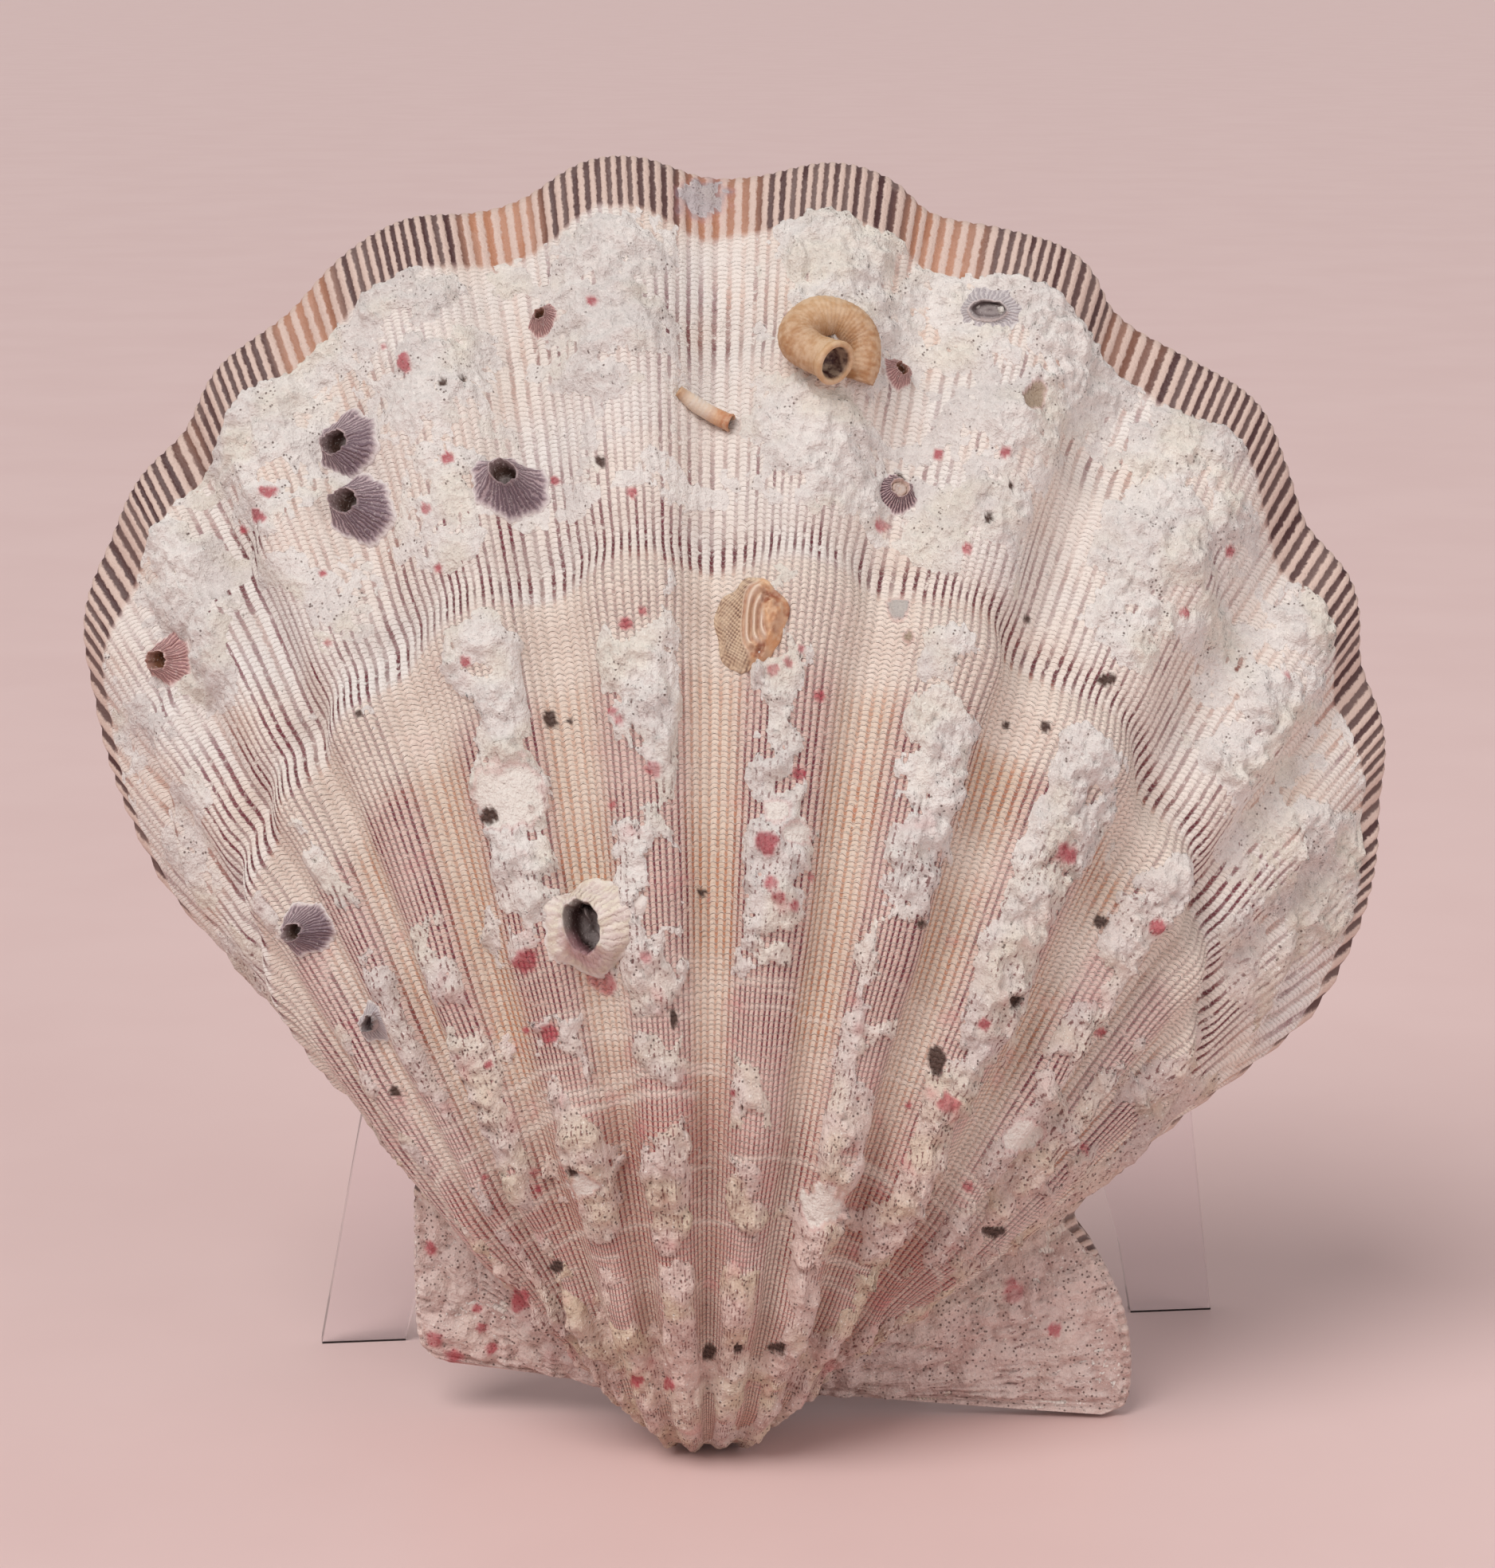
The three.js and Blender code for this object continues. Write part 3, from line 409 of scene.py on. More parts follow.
# Smooth worn places: x, y, half width, half height in photograph pixels, and their tint.
SCARS = [
    (1127, 763, 14, 14, "grey"), (1140, 800, 7, 7, "khaki"), (1297, 497, 14, 20, "khaki"),
    (880, 250, 36, 26, "purple"), (640, 1000, 42, 42, "enamel"), (975, 1020, 18, 14, "enamel"),
    (1000, 1045, 16, 16, "enamel"), (1030, 1510, 26, 26, "enamel"), (732, 1486, 18, 18, "enamel"),
    (1280, 1425, 24, 20, "enamel"),
]
SCAR_TINTS = {"grey": (172, 166, 162), "khaki": (150, 128, 104), "purple": (140, 124, 134),
              "enamel": (228, 222, 214)}


def patch_height(pixels, patches, ragged, soft):
    """Height of the thickest patch at each point: flat-topped, with a ragged edge `soft` mm wide."""
    out = np.zeros(pixels.shape[:-1])
    for x, y, rx, ry, height in patches:
        near = (np.abs(pixels[..., 0] - x) < 1.5 * rx) & (np.abs(pixels[..., 1] - y) < 1.5 * ry)
        if not near.any():
            continue
        q = pixels[near]
        d = np.hypot((q[:, 0] - x) / rx, (q[:, 1] - y) / ry)
        inside = (1.0 - d) * min(rx, ry) * MM_PER_PIXEL + ragged[near]
        out[near] = np.maximum(out[near], height * rise(inside, 0.0, soft[near]))
    return out


def spot_mask(pixels, points, spots, soft=0.35):
    out = np.zeros(pixels.shape[:-1])
    wobble = 0.4 * noise(points, 0.9, 71)
    for spot in spots:
        x, y, rx = spot[:3]
        ry = spot[3] if len(spot) > 3 else rx
        near = (np.abs(pixels[..., 0] - x) < 2 * rx) & (np.abs(pixels[..., 1] - y) < 2 * ry)
        if not near.any():
            continue
        q = pixels[near]
        d = np.hypot((q[:, 0] - x) / rx, (q[:, 1] - y) / ry) + wobble[near]
        out[near] = np.maximum(out[near], rise(d, 1 + soft, 1 - soft))
    return out


def pebbled(points, size, seed):
    """Rounded pebbles with sharp creases between them, about 0 on average."""
    return 2.2 * (np.abs(noise(points, size, seed)) + 0.5 * np.abs(noise(points, size / 2, seed + 5)) - 0.38)


def crust_edge(direction, points):
    """Growth stage at which the crust stops short of the bare margin band."""
    crest = rib_crest(direction) * rib_share(direction)
    flank = np.maximum(rise(direction, 38, 54), rise(direction, -34, -44))
    far_ear = np.maximum(rise(direction, 68, 74), rise(direction, -54, -59))
    edge = 0.952 + 0.006 * crest + 0.018 * flank + 0.05 * far_ear
    return edge + 0.004 * noise(points, 5, 41) + 0.002 * noise(points, 1.5, 42)


def crust_thickness(direction, stage, points, pixels):
    """Thickness of the chalky crust over the bare shell, mm. Below zero there is none."""
    crest = rise(rib_crest(direction) * (0.4 + 0.6 * rib_share(direction)), 0.34, 0.8)
    disc = disc_share(direction)
    inside = rise(stage, MAIN_RING + 0.01, MAIN_RING - 0.03)
    old = rise(stage, 0.3, 0.2)
    rugged = np.maximum(old, low_flank(direction) * rise(stage, 0.98, 0.8))
    lumps = fractal(points, 6.0, 3, 11)
    knobbly = fractal(points, 2.4, 3, 17)
    grit = fractal(points, 0.9, 2, 23)
    pebbles = pebbled(points, 2.6, 27)
    ragged = 2.0 * knobbly + 1.8 * lumps + 0.8 * grit
    patches = patch_height(pixels, CRUST_PATCHES, ragged, lerp(3.2, 1.0, inside))
    bare = patch_height(pixels, [patch + (1.0,) for patch in BARE_PATCHES], ragged, lerp(2.4, 1.2, inside))
    outer = 0.07 + 0.9 * patches + 0.25 * lumps + 0.1 * knobbly - 0.35 * bare
    inner = -0.6 + 0.7 * crest + 0.45 * patches + 0.8 * lumps + 0.5 * knobbly - 1.1 * bare
    aged = 0.1 + 0.45 * crest + 0.3 * patches + 0.5 * lumps + 0.35 * knobbly - 1.3 * bare
    ring = main_ring(direction)
    outer = outer - 0.45 * bell(stage, ring + 0.014, 0.02)
    thick = lerp(lerp(outer, inner, inside), aged, rugged)
    heavy = np.maximum(inside, rugged)
    body = np.clip(thick, 0, 0.6)
    thick = thick + 0.22 * heavy * rise(thick, 0.0, 0.15)
    thick = thick + body * lerp(1.2, 1.5, heavy) * (0.8 * knobbly + grit) + 0.4 * body * rugged * pebbles
    thick = thick * lerp(0.45, 1.0, rise(stage, 0.1, 0.3))
    thick = lerp(0.55 + 0.4 * lumps + 0.5 * pebbles + 0.4 * knobbly + 0.25 * grit, thick, disc)
    edge = crust_edge(direction, points)
    thick = thick - 3.0 * rise(stage, edge - 0.004, edge + 0.012)
    holes = spot_mask(pixels, points, HOLES, 0.15)
    scars = spot_mask(pixels, points, SCARS, 0.3)
    return lerp(thick, 0.35, scars) - 1.6 * holes * (stage < 0.95)


# Colours of the face
def blend(a, b, share):
    share = np.asarray(share)[..., None]
    return a + (b - a) * share


def rgba(colour, alpha):
    alpha = np.broadcast_to(np.asarray(alpha)[..., None], colour.shape[:-1] + (1,))
    return np.concatenate([colour, alpha], -1)


CHALK = srgb(228, 223, 218)
# Crust colour low on the shell: painted shade with pink light thrown up from the floor.
CHALK_LOW_SHADE = srgb(212, 186, 176)
CHALK_GREY = srgb(184, 174, 172)
CHALK_YELLOW = srgb(222, 214, 192)
CREAM = srgb(226, 212, 200)
TAN = srgb(210, 188, 166)
ROSE = srgb(208, 172, 166)
BROWN = srgb(186, 128, 112)
MAROON = srgb(112, 42, 54)
DARK_MAROON = srgb(72, 38, 38)
ORANGE = srgb(188, 130, 98)
CORALLINE = srgb(178, 62, 76)
CORALLINE_PALE = srgb(206, 130, 130)
RIM_BARE = srgb(207, 184, 172)
STRIPE_OLD = srgb(132, 54, 54)
STRIPE_OLDEST = srgb(140, 82, 74)
STRIPE_FADED = srgb(140, 98, 104)
STRIPE_RING = srgb(98, 38, 46)
CHALK_OCHRE = srgb(204, 186, 156)
CHALK_EAR = srgb(226, 206, 199)
CHALK_CAVITY = srgb(168, 122, 112)


def banded(direction, stage, size, seed):
    """Noise in bands along the growth lines: quick with growth, slow from rib to rib."""
    place = np.stack([rib_phase(direction) * 0.8 * size, 140.0 * stage, np.zeros(stage.shape)], -1)
    return fractal(place, size, 3, seed)


def main_ring(direction):
    """Growth stage of the main ring: it stands a little further in on the left."""
    return MAIN_RING + np.interp(direction, [-45, 0, 55], [-0.02, 0.0, 0.019])


def growth_marks(direction, stage, points):
    """What the colours depend on at each place: ribs, rings, the bare rim, age and some noises."""
    at = SimpleNamespace(direction=direction, stage=stage, points=points)
    edge, ring = crust_edge(direction, points), main_ring(direction)
    riblet = np.round(riblet_coordinate(direction)).astype(np.int64)
    at.whole = np.ones(stage.shape + (3,))
    at.crest = rise(rib_crest(direction), 0.15, 0.75)
    at.disc = disc_share(direction)
    at.mottle = fractal(points, 9.0, 3, 101)
    at.patchy = fractal(points, 3.0, 3, 131)
    at.bands = banded(direction, stage, 9.0, 111)
    at.chance = cell_hash(riblet, np.round(stage * 6 + riblet * 0.37).astype(np.int64), riblet * 0, 181)
    at.veins = rise(banded(direction, stage, 0.8, 171), 0.25, 0.45)
    at.veins = at.veins * rise(stage, 0.52, 0.42) * rise(stage, 0.24, 0.29)
    at.band = rise(stage, edge - 0.008, edge - 0.001)
    at.outside = rise(stage, ring - 0.004, ring + 0.004)
    at.ring_dash = bell(stage, ring + 0.013, 0.01) * np.clip(0.9 + 0.8 * at.patchy, 0, 1)
    at.near_ring = bell(stage, ring + 0.05, 0.05) * at.outside
    at.plain_ring = rise(stage, ring - 0.075, ring - 0.045) * (1 - at.outside)
    second_ring = OUTER_RING + 0.006 + 0.006 * at.mottle
    at.second = bell(stage, second_ring, 0.022) * np.clip(0.6 + at.bands, 0, 1)
    at.flank = np.maximum(rise(direction, 30, 44), rise(direction, -24, -34))
    at.old = rise(stage, 0.45, 0.35)
    at.oldest = rise(stage, 0.3, 0.2)
    return at


def bare_tone(at):
    """Colour of the bare shell between its stripes."""
    inner = blend(CREAM * at.whole, TAN, np.clip(0.5 + 0.5 * at.bands - 0.5 * at.flank, 0, 1))
    inner = blend(inner, ROSE, 0.6 * at.crest)
    inner = blend(inner, BROWN, 0.62 * at.old * np.clip(0.7 + 0.9 * at.bands, 0, 1))
    inner = blend(inner, CREAM, 0.75 * at.veins)
    inner = blend(inner, CREAM, np.clip(at.plain_ring * 1.2, 0, 1))
    outer = blend(CREAM, CHALK, np.clip(0.5 + at.mottle, 0, 1))
    return blend(blend(inner, outer, at.outside), RIM_BARE, at.band)


def stripe_tone(at):
    """Colour of the stripes in the grooves between the riblets."""
    ripe = np.clip(1.1 * at.crest + 0.5 * at.patchy + 0.25 * at.flank, 0, 1)
    inner = blend(ORANGE * at.whole, MAROON, ripe)
    inner = blend(inner, blend(STRIPE_OLD * at.whole, STRIPE_OLDEST, at.oldest), at.old)
    faded = np.clip(0.9 * at.chance + at.mottle + 0.4 * at.crest - 0.15, 0, 1)
    outer = blend(ORANGE * 1.05, STRIPE_FADED, faded)
    outer = blend(outer, MAROON, np.clip(at.near_ring, 0, 1))
    outer = blend(outer, STRIPE_RING, np.clip(1.1 * at.second + 1.2 * at.ring_dash, 0, 1))
    sides = rise(np.abs(at.direction + 2), 18, 34)
    dark = np.clip(1.2 * at.crest + 1.3 * sides + 0.1 + 0.4 * at.mottle, 0, 1)
    return blend(blend(inner, outer, at.outside), blend(ORANGE * 0.9, DARK_MAROON, dark), at.band)


def stripe_strength(at):
    """How strongly the stripes show, from 0 to 1."""
    inner = np.clip(0.62 + 0.7 * at.bands + 0.3 * at.crest, 0.1, 1)
    inner = inner * (1 - 0.85 * at.plain_ring * (1 - 0.4 * at.crest))
    inner = np.maximum(inner, 0.85 * at.old)
    outer = np.clip(0.35 + 0.5 * at.bands + 0.3 * at.patchy + 0.2 * at.flank, 0.1, 0.75)
    outer = outer + 0.3 * at.near_ring + 0.7 * at.second + at.ring_dash
    strength = lerp(inner, outer, at.outside)
    strength = strength * lerp(1.0, 0.55 + 0.8 * at.chance, lerp(0.5, 1.0, at.outside))
    strength = strength * (1 - 0.6 * at.veins * (1 - at.outside))
    strength = lerp(strength * lerp(0.3, 1.0, at.disc), 0.8 + 0.2 * at.chance, at.band)
    low_sides = np.maximum(rise(at.direction, 56, 64), rise(at.direction, -45, -51))
    return np.clip(strength * (1 - 0.6 * low_sides * at.disc), 0, 1)


def crust_tone(at):
    """Colour of the chalky crust."""
    # Towards the bottom the crust turns darker and pinker, which is painted shade with pink floor light; the
    # ochre there is its own colour.
    low = rise(at.points[..., 2], 78, 18)
    crust = blend(CHALK * at.whole, CHALK_LOW_SHADE, low)
    crust = blend(crust, CHALK_GREY, np.clip(0.12 + 0.6 * at.mottle, 0, 0.45))
    crust = blend(crust, CHALK_YELLOW, np.clip(0.8 * fractal(at.points, 5.0, 2, 161), 0, 0.35))
    ochre = np.clip(0.1 + 1.2 * fractal(at.points, 3.5, 2, 163), 0, 0.6)
    crust = blend(crust, CHALK_OCHRE, at.disc * low * ochre)
    crust = blend(crust, CHALK_EAR, 0.55 * (1 - at.disc))
    cavities = np.clip(-1.0 * pebbled(at.points, 2.6, 27), 0, 0.45)
    return blend(crust, CHALK_CAVITY, cavities * np.maximum(at.oldest, 1 - at.disc))


def crust_share(at, thickness):
    """How much the crust's colour covers the shell, from 0 to 1: a thin veil outside the main ring."""
    veil = 0.32 * at.outside * (1 - at.band) * np.clip(0.9 + at.mottle - 0.8 * at.ring_dash, 0, 1)
    return np.maximum(rise(thickness, 0.0, 0.16), veil)


def stains(at, pixels):
    """Colour and strength of the coralline growths and of the worn places."""
    spots = spot_mask(pixels, at.points, SPOTS, 0.2) * np.clip(0.95 + 0.7 * at.patchy, 0.4, 1)
    pink = np.clip(1.8 * fractal(at.points, 2.6, 3, 151) - 0.5, 0, 1)
    pink = pink * rise(at.stage, 0.75, 0.4) * (1 - at.band)
    tone = blend(CORALLINE_PALE * at.whole, CORALLINE, np.clip(spots * 1.5, 0, 1))
    tone = blend(tone, CORALLINE * 0.7, np.clip(2 * at.patchy, 0, 1) * (spots > 0.5))
    share = np.maximum(0.85 * spots, 0.6 * pink)
    for *place, tint in SCARS:
        scar = spot_mask(pixels, at.points, [place], 0.15)
        tone = blend(tone, srgb(*SCAR_TINTS[tint]), scar)
        share = np.maximum(share, scar * (0.55 if tint == "purple" else 0.85))
    return tone, share


def surface_fields(direction, stage, points, pixels, thickness):
    """Colours of the bare shell, its stripes, its crust and its stains, as RGBA arrays."""
    at = growth_marks(direction, stage, points)
    scaly = (1 - at.band) * lerp(1.0, 0.55, at.outside)
    # The bore holes are marked here to be painted dark, as painted shade in their depth.
    return {"base": rgba(bare_tone(at), scaly), "stripe": rgba(stripe_tone(at), stripe_strength(at)),
            "crust": rgba(crust_tone(at), crust_share(at, thickness)), "stain": rgba(*stains(at, pixels)),
            "hole_shade": spot_mask(pixels, points, HOLES, 0.1),
            "lines": np.stack([riblet_coordinate(direction), stage * margin_radius(direction), at.band], -1)}


# Meshes
def add_mesh(name, points, faces, fields=None, materials=(), face_material=None, sharp=None):
    """Object from points in mm and a list of quad and triangle index arrays."""
    mesh = bpy.data.meshes.new(name)
    faces = [np.asarray(f, np.int32) for f in faces if len(f)]
    loops = np.concatenate([f.ravel() for f in faces])
    totals = np.concatenate([np.full(len(f), f.shape[1], np.int32) for f in faces])
    mesh.vertices.add(len(points))
    mesh.vertices.foreach_set("co", (np.asarray(points) / 1000.0).astype(np.float32).ravel())
    mesh.loops.add(len(loops))
    mesh.loops.foreach_set("vertex_index", loops)
    mesh.polygons.add(len(totals))
    mesh.polygons.foreach_set("loop_start", np.concatenate([[0], np.cumsum(totals)[:-1]]).astype(np.int32))
    mesh.polygons.foreach_set("loop_total", totals)
    for material in materials:
        mesh.materials.append(material)
    if face_material is not None:
        mesh.polygons.foreach_set("material_index", np.asarray(face_material, np.int32))
    mesh.polygons.foreach_set("use_smooth", np.ones(len(totals), bool))
    mesh.update(calc_edges=True)
    mesh.validate()
    if sharp is not None:
        edges = np.zeros(2 * len(mesh.edges), np.int32)
        mesh.edges.foreach_get("vertices", edges)
        edges = edges.reshape(-1, 2)
        mark = sharp[edges[:, 0]] & sharp[edges[:, 1]]
        mesh.attributes.new("sharp_edge", "BOOLEAN", "EDGE").data.foreach_set("value", mark)
    for key, values in (fields or {}).items():
        kind = {1: "FLOAT", 3: "FLOAT_VECTOR", 4: "FLOAT_COLOR"}[1 if values.ndim == 1 else values.shape[1]]
        slot = {"FLOAT": "value", "FLOAT_VECTOR": "vector", "FLOAT_COLOR": "color"}[kind]
        mesh.attributes.new(key, kind, "POINT").data.foreach_set(slot, values.astype(np.float32).ravel())
    thing = bpy.data.objects.new(name, mesh)
    bpy.context.scene.collection.objects.link(thing)
    return thing


def grid_quads(index):
    """Quads of a grid of vertex numbers, rows by columns, facing out when rows go towards the beak."""
    return np.stack([index[:-1, :-1], index[1:, :-1], index[1:, 1:], index[:-1, 1:]], -1).reshape(-1, 4)


def turned(faces):
    """The same faces looking the other way, from the same first corner."""
    return np.roll(faces[:, ::-1], 1, 1)


def stacked_rings(rings, start, end):
    """Points of a stack of closed rings with a point at each end, and faces that look into the stack."""
    rings = np.array(rings)
    rows, segments = rings.shape[:2]
    count = rows * segments
    index = np.arange(count).reshape(rows, segments)
    index = np.concatenate([index, index[:, :1]], 1)
    first = np.stack([index[0, :-1], index[0, 1:], np.full(segments, count)], -1)
    last = np.stack([index[-1, 1:], index[-1, :-1], np.full(segments, count + 1)], -1)
    return np.concatenate([rings.reshape(-1, 3), [start], [end]]), [grid_quads(index), last, first]


def zipper(a, at_a, b, at_b):
    """Triangles between two rows of vertices whose places along the row run from 0 to 1."""
    out = []
    i = j = 0
    while i < len(a) - 1 or j < len(b) - 1:
        if j == len(b) - 1 or (i < len(a) - 1 and at_a[i + 1] <= at_b[j + 1]):
            out.append((a[i], b[j], a[i + 1]))
            i += 1
        else:
            out.append((a[i], b[j], b[j + 1]))
            j += 1
    return np.array(out, np.int32)


def worn_face(direction, stage, lift=0.0, combing=1.0):
    """Outer face with ribs, rings and this share of its riblets, in the standing pose."""
    normal = face_normal(direction, stage)
    margin = 0.55 * rise(stage, 0.99, 1.0) ** 2
    height = relief(direction, stage) + combing * riblets(direction, stage) - margin + lift
    points = smooth_face(direction, stage) + normal * np.asarray(height)[..., None]
    points = points + normal * even_reach(direction, stage)[..., None] * np.array([1.0, 0.0, 1.0])
    points[..., 1] = np.minimum(points[..., 1], -0.6 * MARGIN_THICKNESS)
    return stand_up(points)


def slab_underside(direction, stage):
    """Underside of a crust tile: it follows the ribs, so that it stays inside the valve's wall."""
    depth = lerp(1.4, 0.8, rise(stage, 0.85, 0.97)) * wall_share(direction, stage)
    depth = depth - 0.78 * ribs_alone(direction, stage) + beak_taper(direction, stage)
    return worn_face(direction, stage, -depth - relief(direction, stage), 0.0)


def flattened(values):
    """A grid of values as one list."""
    return values.reshape((-1,) + values.shape[2:])


def directions_between(first, last, per_riblet):
    """Margin directions with the same number of columns to every riblet."""
    low, high = riblet_coordinate(np.array([first, last]))
    count = int(np.ceil(low * per_riblet)), int(np.floor(high * per_riblet))
    at = np.arange(count[0], count[1] + 1) / per_riblet
    at = np.concatenate([[low], at[(at > low + 1e-3) & (at < high - 1e-3)], [high]])
    return np.interp(at, riblet_coordinate(MARGIN_DIRECTION), MARGIN_DIRECTION)


SEAM_STAGE = 0.62          # where outer and inner tiles pass under each other
SEAM_OVERLAP = 0.01


def beyond(stage, inner, outer):
    """One where a tile has run past the seam between outer and inner tiles."""
    past_in = (stage < SEAM_STAGE) & (inner < SEAM_STAGE) & (inner > SEAM_STAGE - 2 * SEAM_OVERLAP)
    past_out = (stage > SEAM_STAGE) & (outer > SEAM_STAGE) & (outer < SEAM_STAGE + 2 * SEAM_OVERLAP)
    return (past_in | past_out) * 1.0


def crust_tile(name, first, last, inner, outer, per_riblet, rows, seam_rows=30):
    """Closed slab of the outer face between two directions and two growth stages, crust included."""
    across = directions_between(first, last, per_riblet)
    steps = np.linspace(outer, inner, rows)
    direction, stage = np.meshgrid(across, steps)
    bare = worn_face(direction, stage)
    pixels = photo_pixels(bare)
    thickness = crust_thickness(direction, stage, bare, pixels)
    edge = crust_edge(direction, bare)
    ends = np.maximum(rise(direction, MARGIN_DIRECTION[0] + 3, MARGIN_DIRECTION[0] + 0.5),
                      rise(direction, MARGIN_DIRECTION[-1] - 3, MARGIN_DIRECTION[-1] - 0.5))
    ends = np.maximum(ends, rise(np.abs(stage - SEAM_STAGE), 0.006, 0.009) * beyond(stage, inner, outer))
    ends = np.maximum(ends, rise(stage, outer - 0.008, outer - 0.002) * (outer > 0.9))
    dive = np.maximum(rise(stage, edge - 0.002, edge + 0.006), ends)
    lift = np.maximum(thickness, 0.03) * (1 - dive) - 0.6 * dive
    worn = lerp(1.0, 0.5 + 0.4 * noise(bare, 4.0, 61), rise(stage, MAIN_RING, MAIN_RING + 0.03))
    combing = lerp(1.0, 0.2, rise(thickness, 0.05, 0.45)) * worn
    top = worn_face(direction, stage, lift + 0.04, lerp(combing, 1.0, dive))
    fields = surface_fields(direction, stage, bare, pixels, thickness)

    few = np.linspace(0, len(across) - 1, max(8, len(across) // 5)).round().astype(int)
    seam = np.linspace(0, rows - 1, seam_rows).round().astype(int)
    under = slab_underside(*np.meshgrid(across[few], steps[seam]))
    count = direction.size
    top_index = np.arange(count).reshape(direction.shape)
    low_index = count + np.arange(len(seam) * len(few)).reshape(len(seam), len(few))
    at_columns, at_few = np.linspace(0, 1, len(across)), few / (len(across) - 1)
    at_rows, at_seam = np.linspace(0, 1, rows), seam / (rows - 1)
    sides = [zipper(top_index[0], at_columns, low_index[0], at_few)[:, ::-1],
             zipper(top_index[-1], at_columns, low_index[-1], at_few),
             zipper(top_index[:, 0], at_rows, low_index[:, 0], at_seam),
             zipper(top_index[:, -1], at_rows, low_index[:, -1], at_seam)[:, ::-1]]
    joined = {key: np.concatenate([flattened(values), flattened(values[np.ix_(seam, few)])])
              for key, values in fields.items()}
    border = np.zeros(count + low_index.size, bool)
    border[np.concatenate([top_index[0], top_index[-1], top_index[:, 0], top_index[:, -1]])] = True
    border[low_index] = True
    faces = [grid_quads(top_index), grid_quads(low_index)[:, ::-1], *sides]
    points = np.concatenate([flattened(top), flattened(under)])
    return add_mesh(name, points, faces, joined, [shell_material()], sharp=border)


# The inside of the valve
def growth_at(x, z):
    """Direction and stage of the outer face at points seen square on, in the valve's own frame."""
    low, high = np.full(x.shape, 0.02), np.ones(x.shape)
    for _ in range(30):
        stage = 0.5 * (low + high)
        px, pz = x / stage, z / (stage * np.maximum(0.02, np.cos(coil(stage))))
        outside = np.hypot(px, pz) > margin_radius(np.degrees(np.arctan2(px, pz)))
        low, high = np.where(outside, stage, low), np.where(outside, high, stage)
    stage = 0.5 * (low + high)
    px, pz = x / stage, z / (stage * np.maximum(0.02, np.cos(coil(stage))))
    return np.degrees(np.arctan2(px, pz)), stage


def hollow_depth(x, z):
    """Depth of the hollow behind the plane of the margin, with the direction and stage of the face there."""
    direction, stage = growth_at(x, z)
    crest = rib_crest(direction) * rib_share(direction)
    flute = 0.6 * RIB_HEIGHT * crest * rise(stage, 0.45, 0.85)
    wall = lerp(WALL, MARGIN_THICKNESS, rise(stage, 0.6, 0.985))
    depth = -smooth_face(direction, stage)[..., 1] - wall + flute
    return np.maximum(0, np.minimum(depth, (z - HINGE_PLATE) * 1.1)), direction, stage


def hollow_edge(angle):
    """How far the hollow reaches from its centre at these angles, clockwise from straight up."""
    low, high = np.zeros(angle.shape), np.full(angle.shape, 110.0)
    for _ in range(24):
        reach = 0.5 * (low + high)
        x = HOLLOW_CENTRE[0] + reach * np.sin(angle)
        z = HOLLOW_CENTRE[1] + reach * np.cos(angle)
        direction = np.degrees(np.arctan2(x, z))
        inside = ((z > HINGE_PLATE) & (direction > EDGE_LEFT + 3.5) & (direction < EDGE_RIGHT - 3.5)
                  & (np.hypot(x, z) < margin_radius(direction) - 1.1))
        low, high = np.where(inside, reach, low), np.where(inside, high, reach)
    return low


SPOKES = 300
SPOKE_ROWS = 40
PORCELAIN = srgb(232, 222, 212)
INSIDE_BROWN = srgb(150, 96, 84)
MUSCLE_SCAR = srgb(205, 170, 150)


def inside_grid():
    """Points of the hollow from its edge to its middle, in the valve's own frame, and their colours."""
    angle = 2 * np.pi * np.arange(SPOKES) / SPOKES
    share = np.linspace(1, 0, SPOKE_ROWS + 1)[:-1] ** 0.85
    reach = share[:, None] * hollow_edge(angle)[None]
    x = HOLLOW_CENTRE[0] + reach * np.sin(angle)
    z = HOLLOW_CENTRE[1] + reach * np.cos(angle)
    depth, direction, stage = hollow_depth(x, z)
    depth[0] = 0
    scar = np.hypot((x - 12) / 19, (z - 66) / 17) + 0.06 * np.sin(3 * angle)[None]
    depth = depth + 0.35 * rise(scar, 1.04, 0.98)
    points = np.stack([x, -depth, z], -1)
    fluted = 0.55 + 0.4 * np.cos(2 * np.pi * rib_phase(direction))
    browned = np.clip(rise(stage, 0.9, 0.99) * fluted, 0, 1)
    colour = blend(PORCELAIN * np.ones(stage.shape + (3,)), INSIDE_BROWN, browned)
    colour = blend(colour, MUSCLE_SCAR, 0.5 * rise(z, 30, 14) + 0.25 * rise(scar, 1.0, 0.97))
    return points, colour


# Growth stages of the body's rows, closest at the rim.
BODY_STAGES = np.concatenate([np.linspace(1, 0.984, 7), np.linspace(0.98, 0.93, 12),
                              np.linspace(0.92, 0.1, 24), [0.08, 0.06, 0.045, 0.03, BEAK_SIZE]])


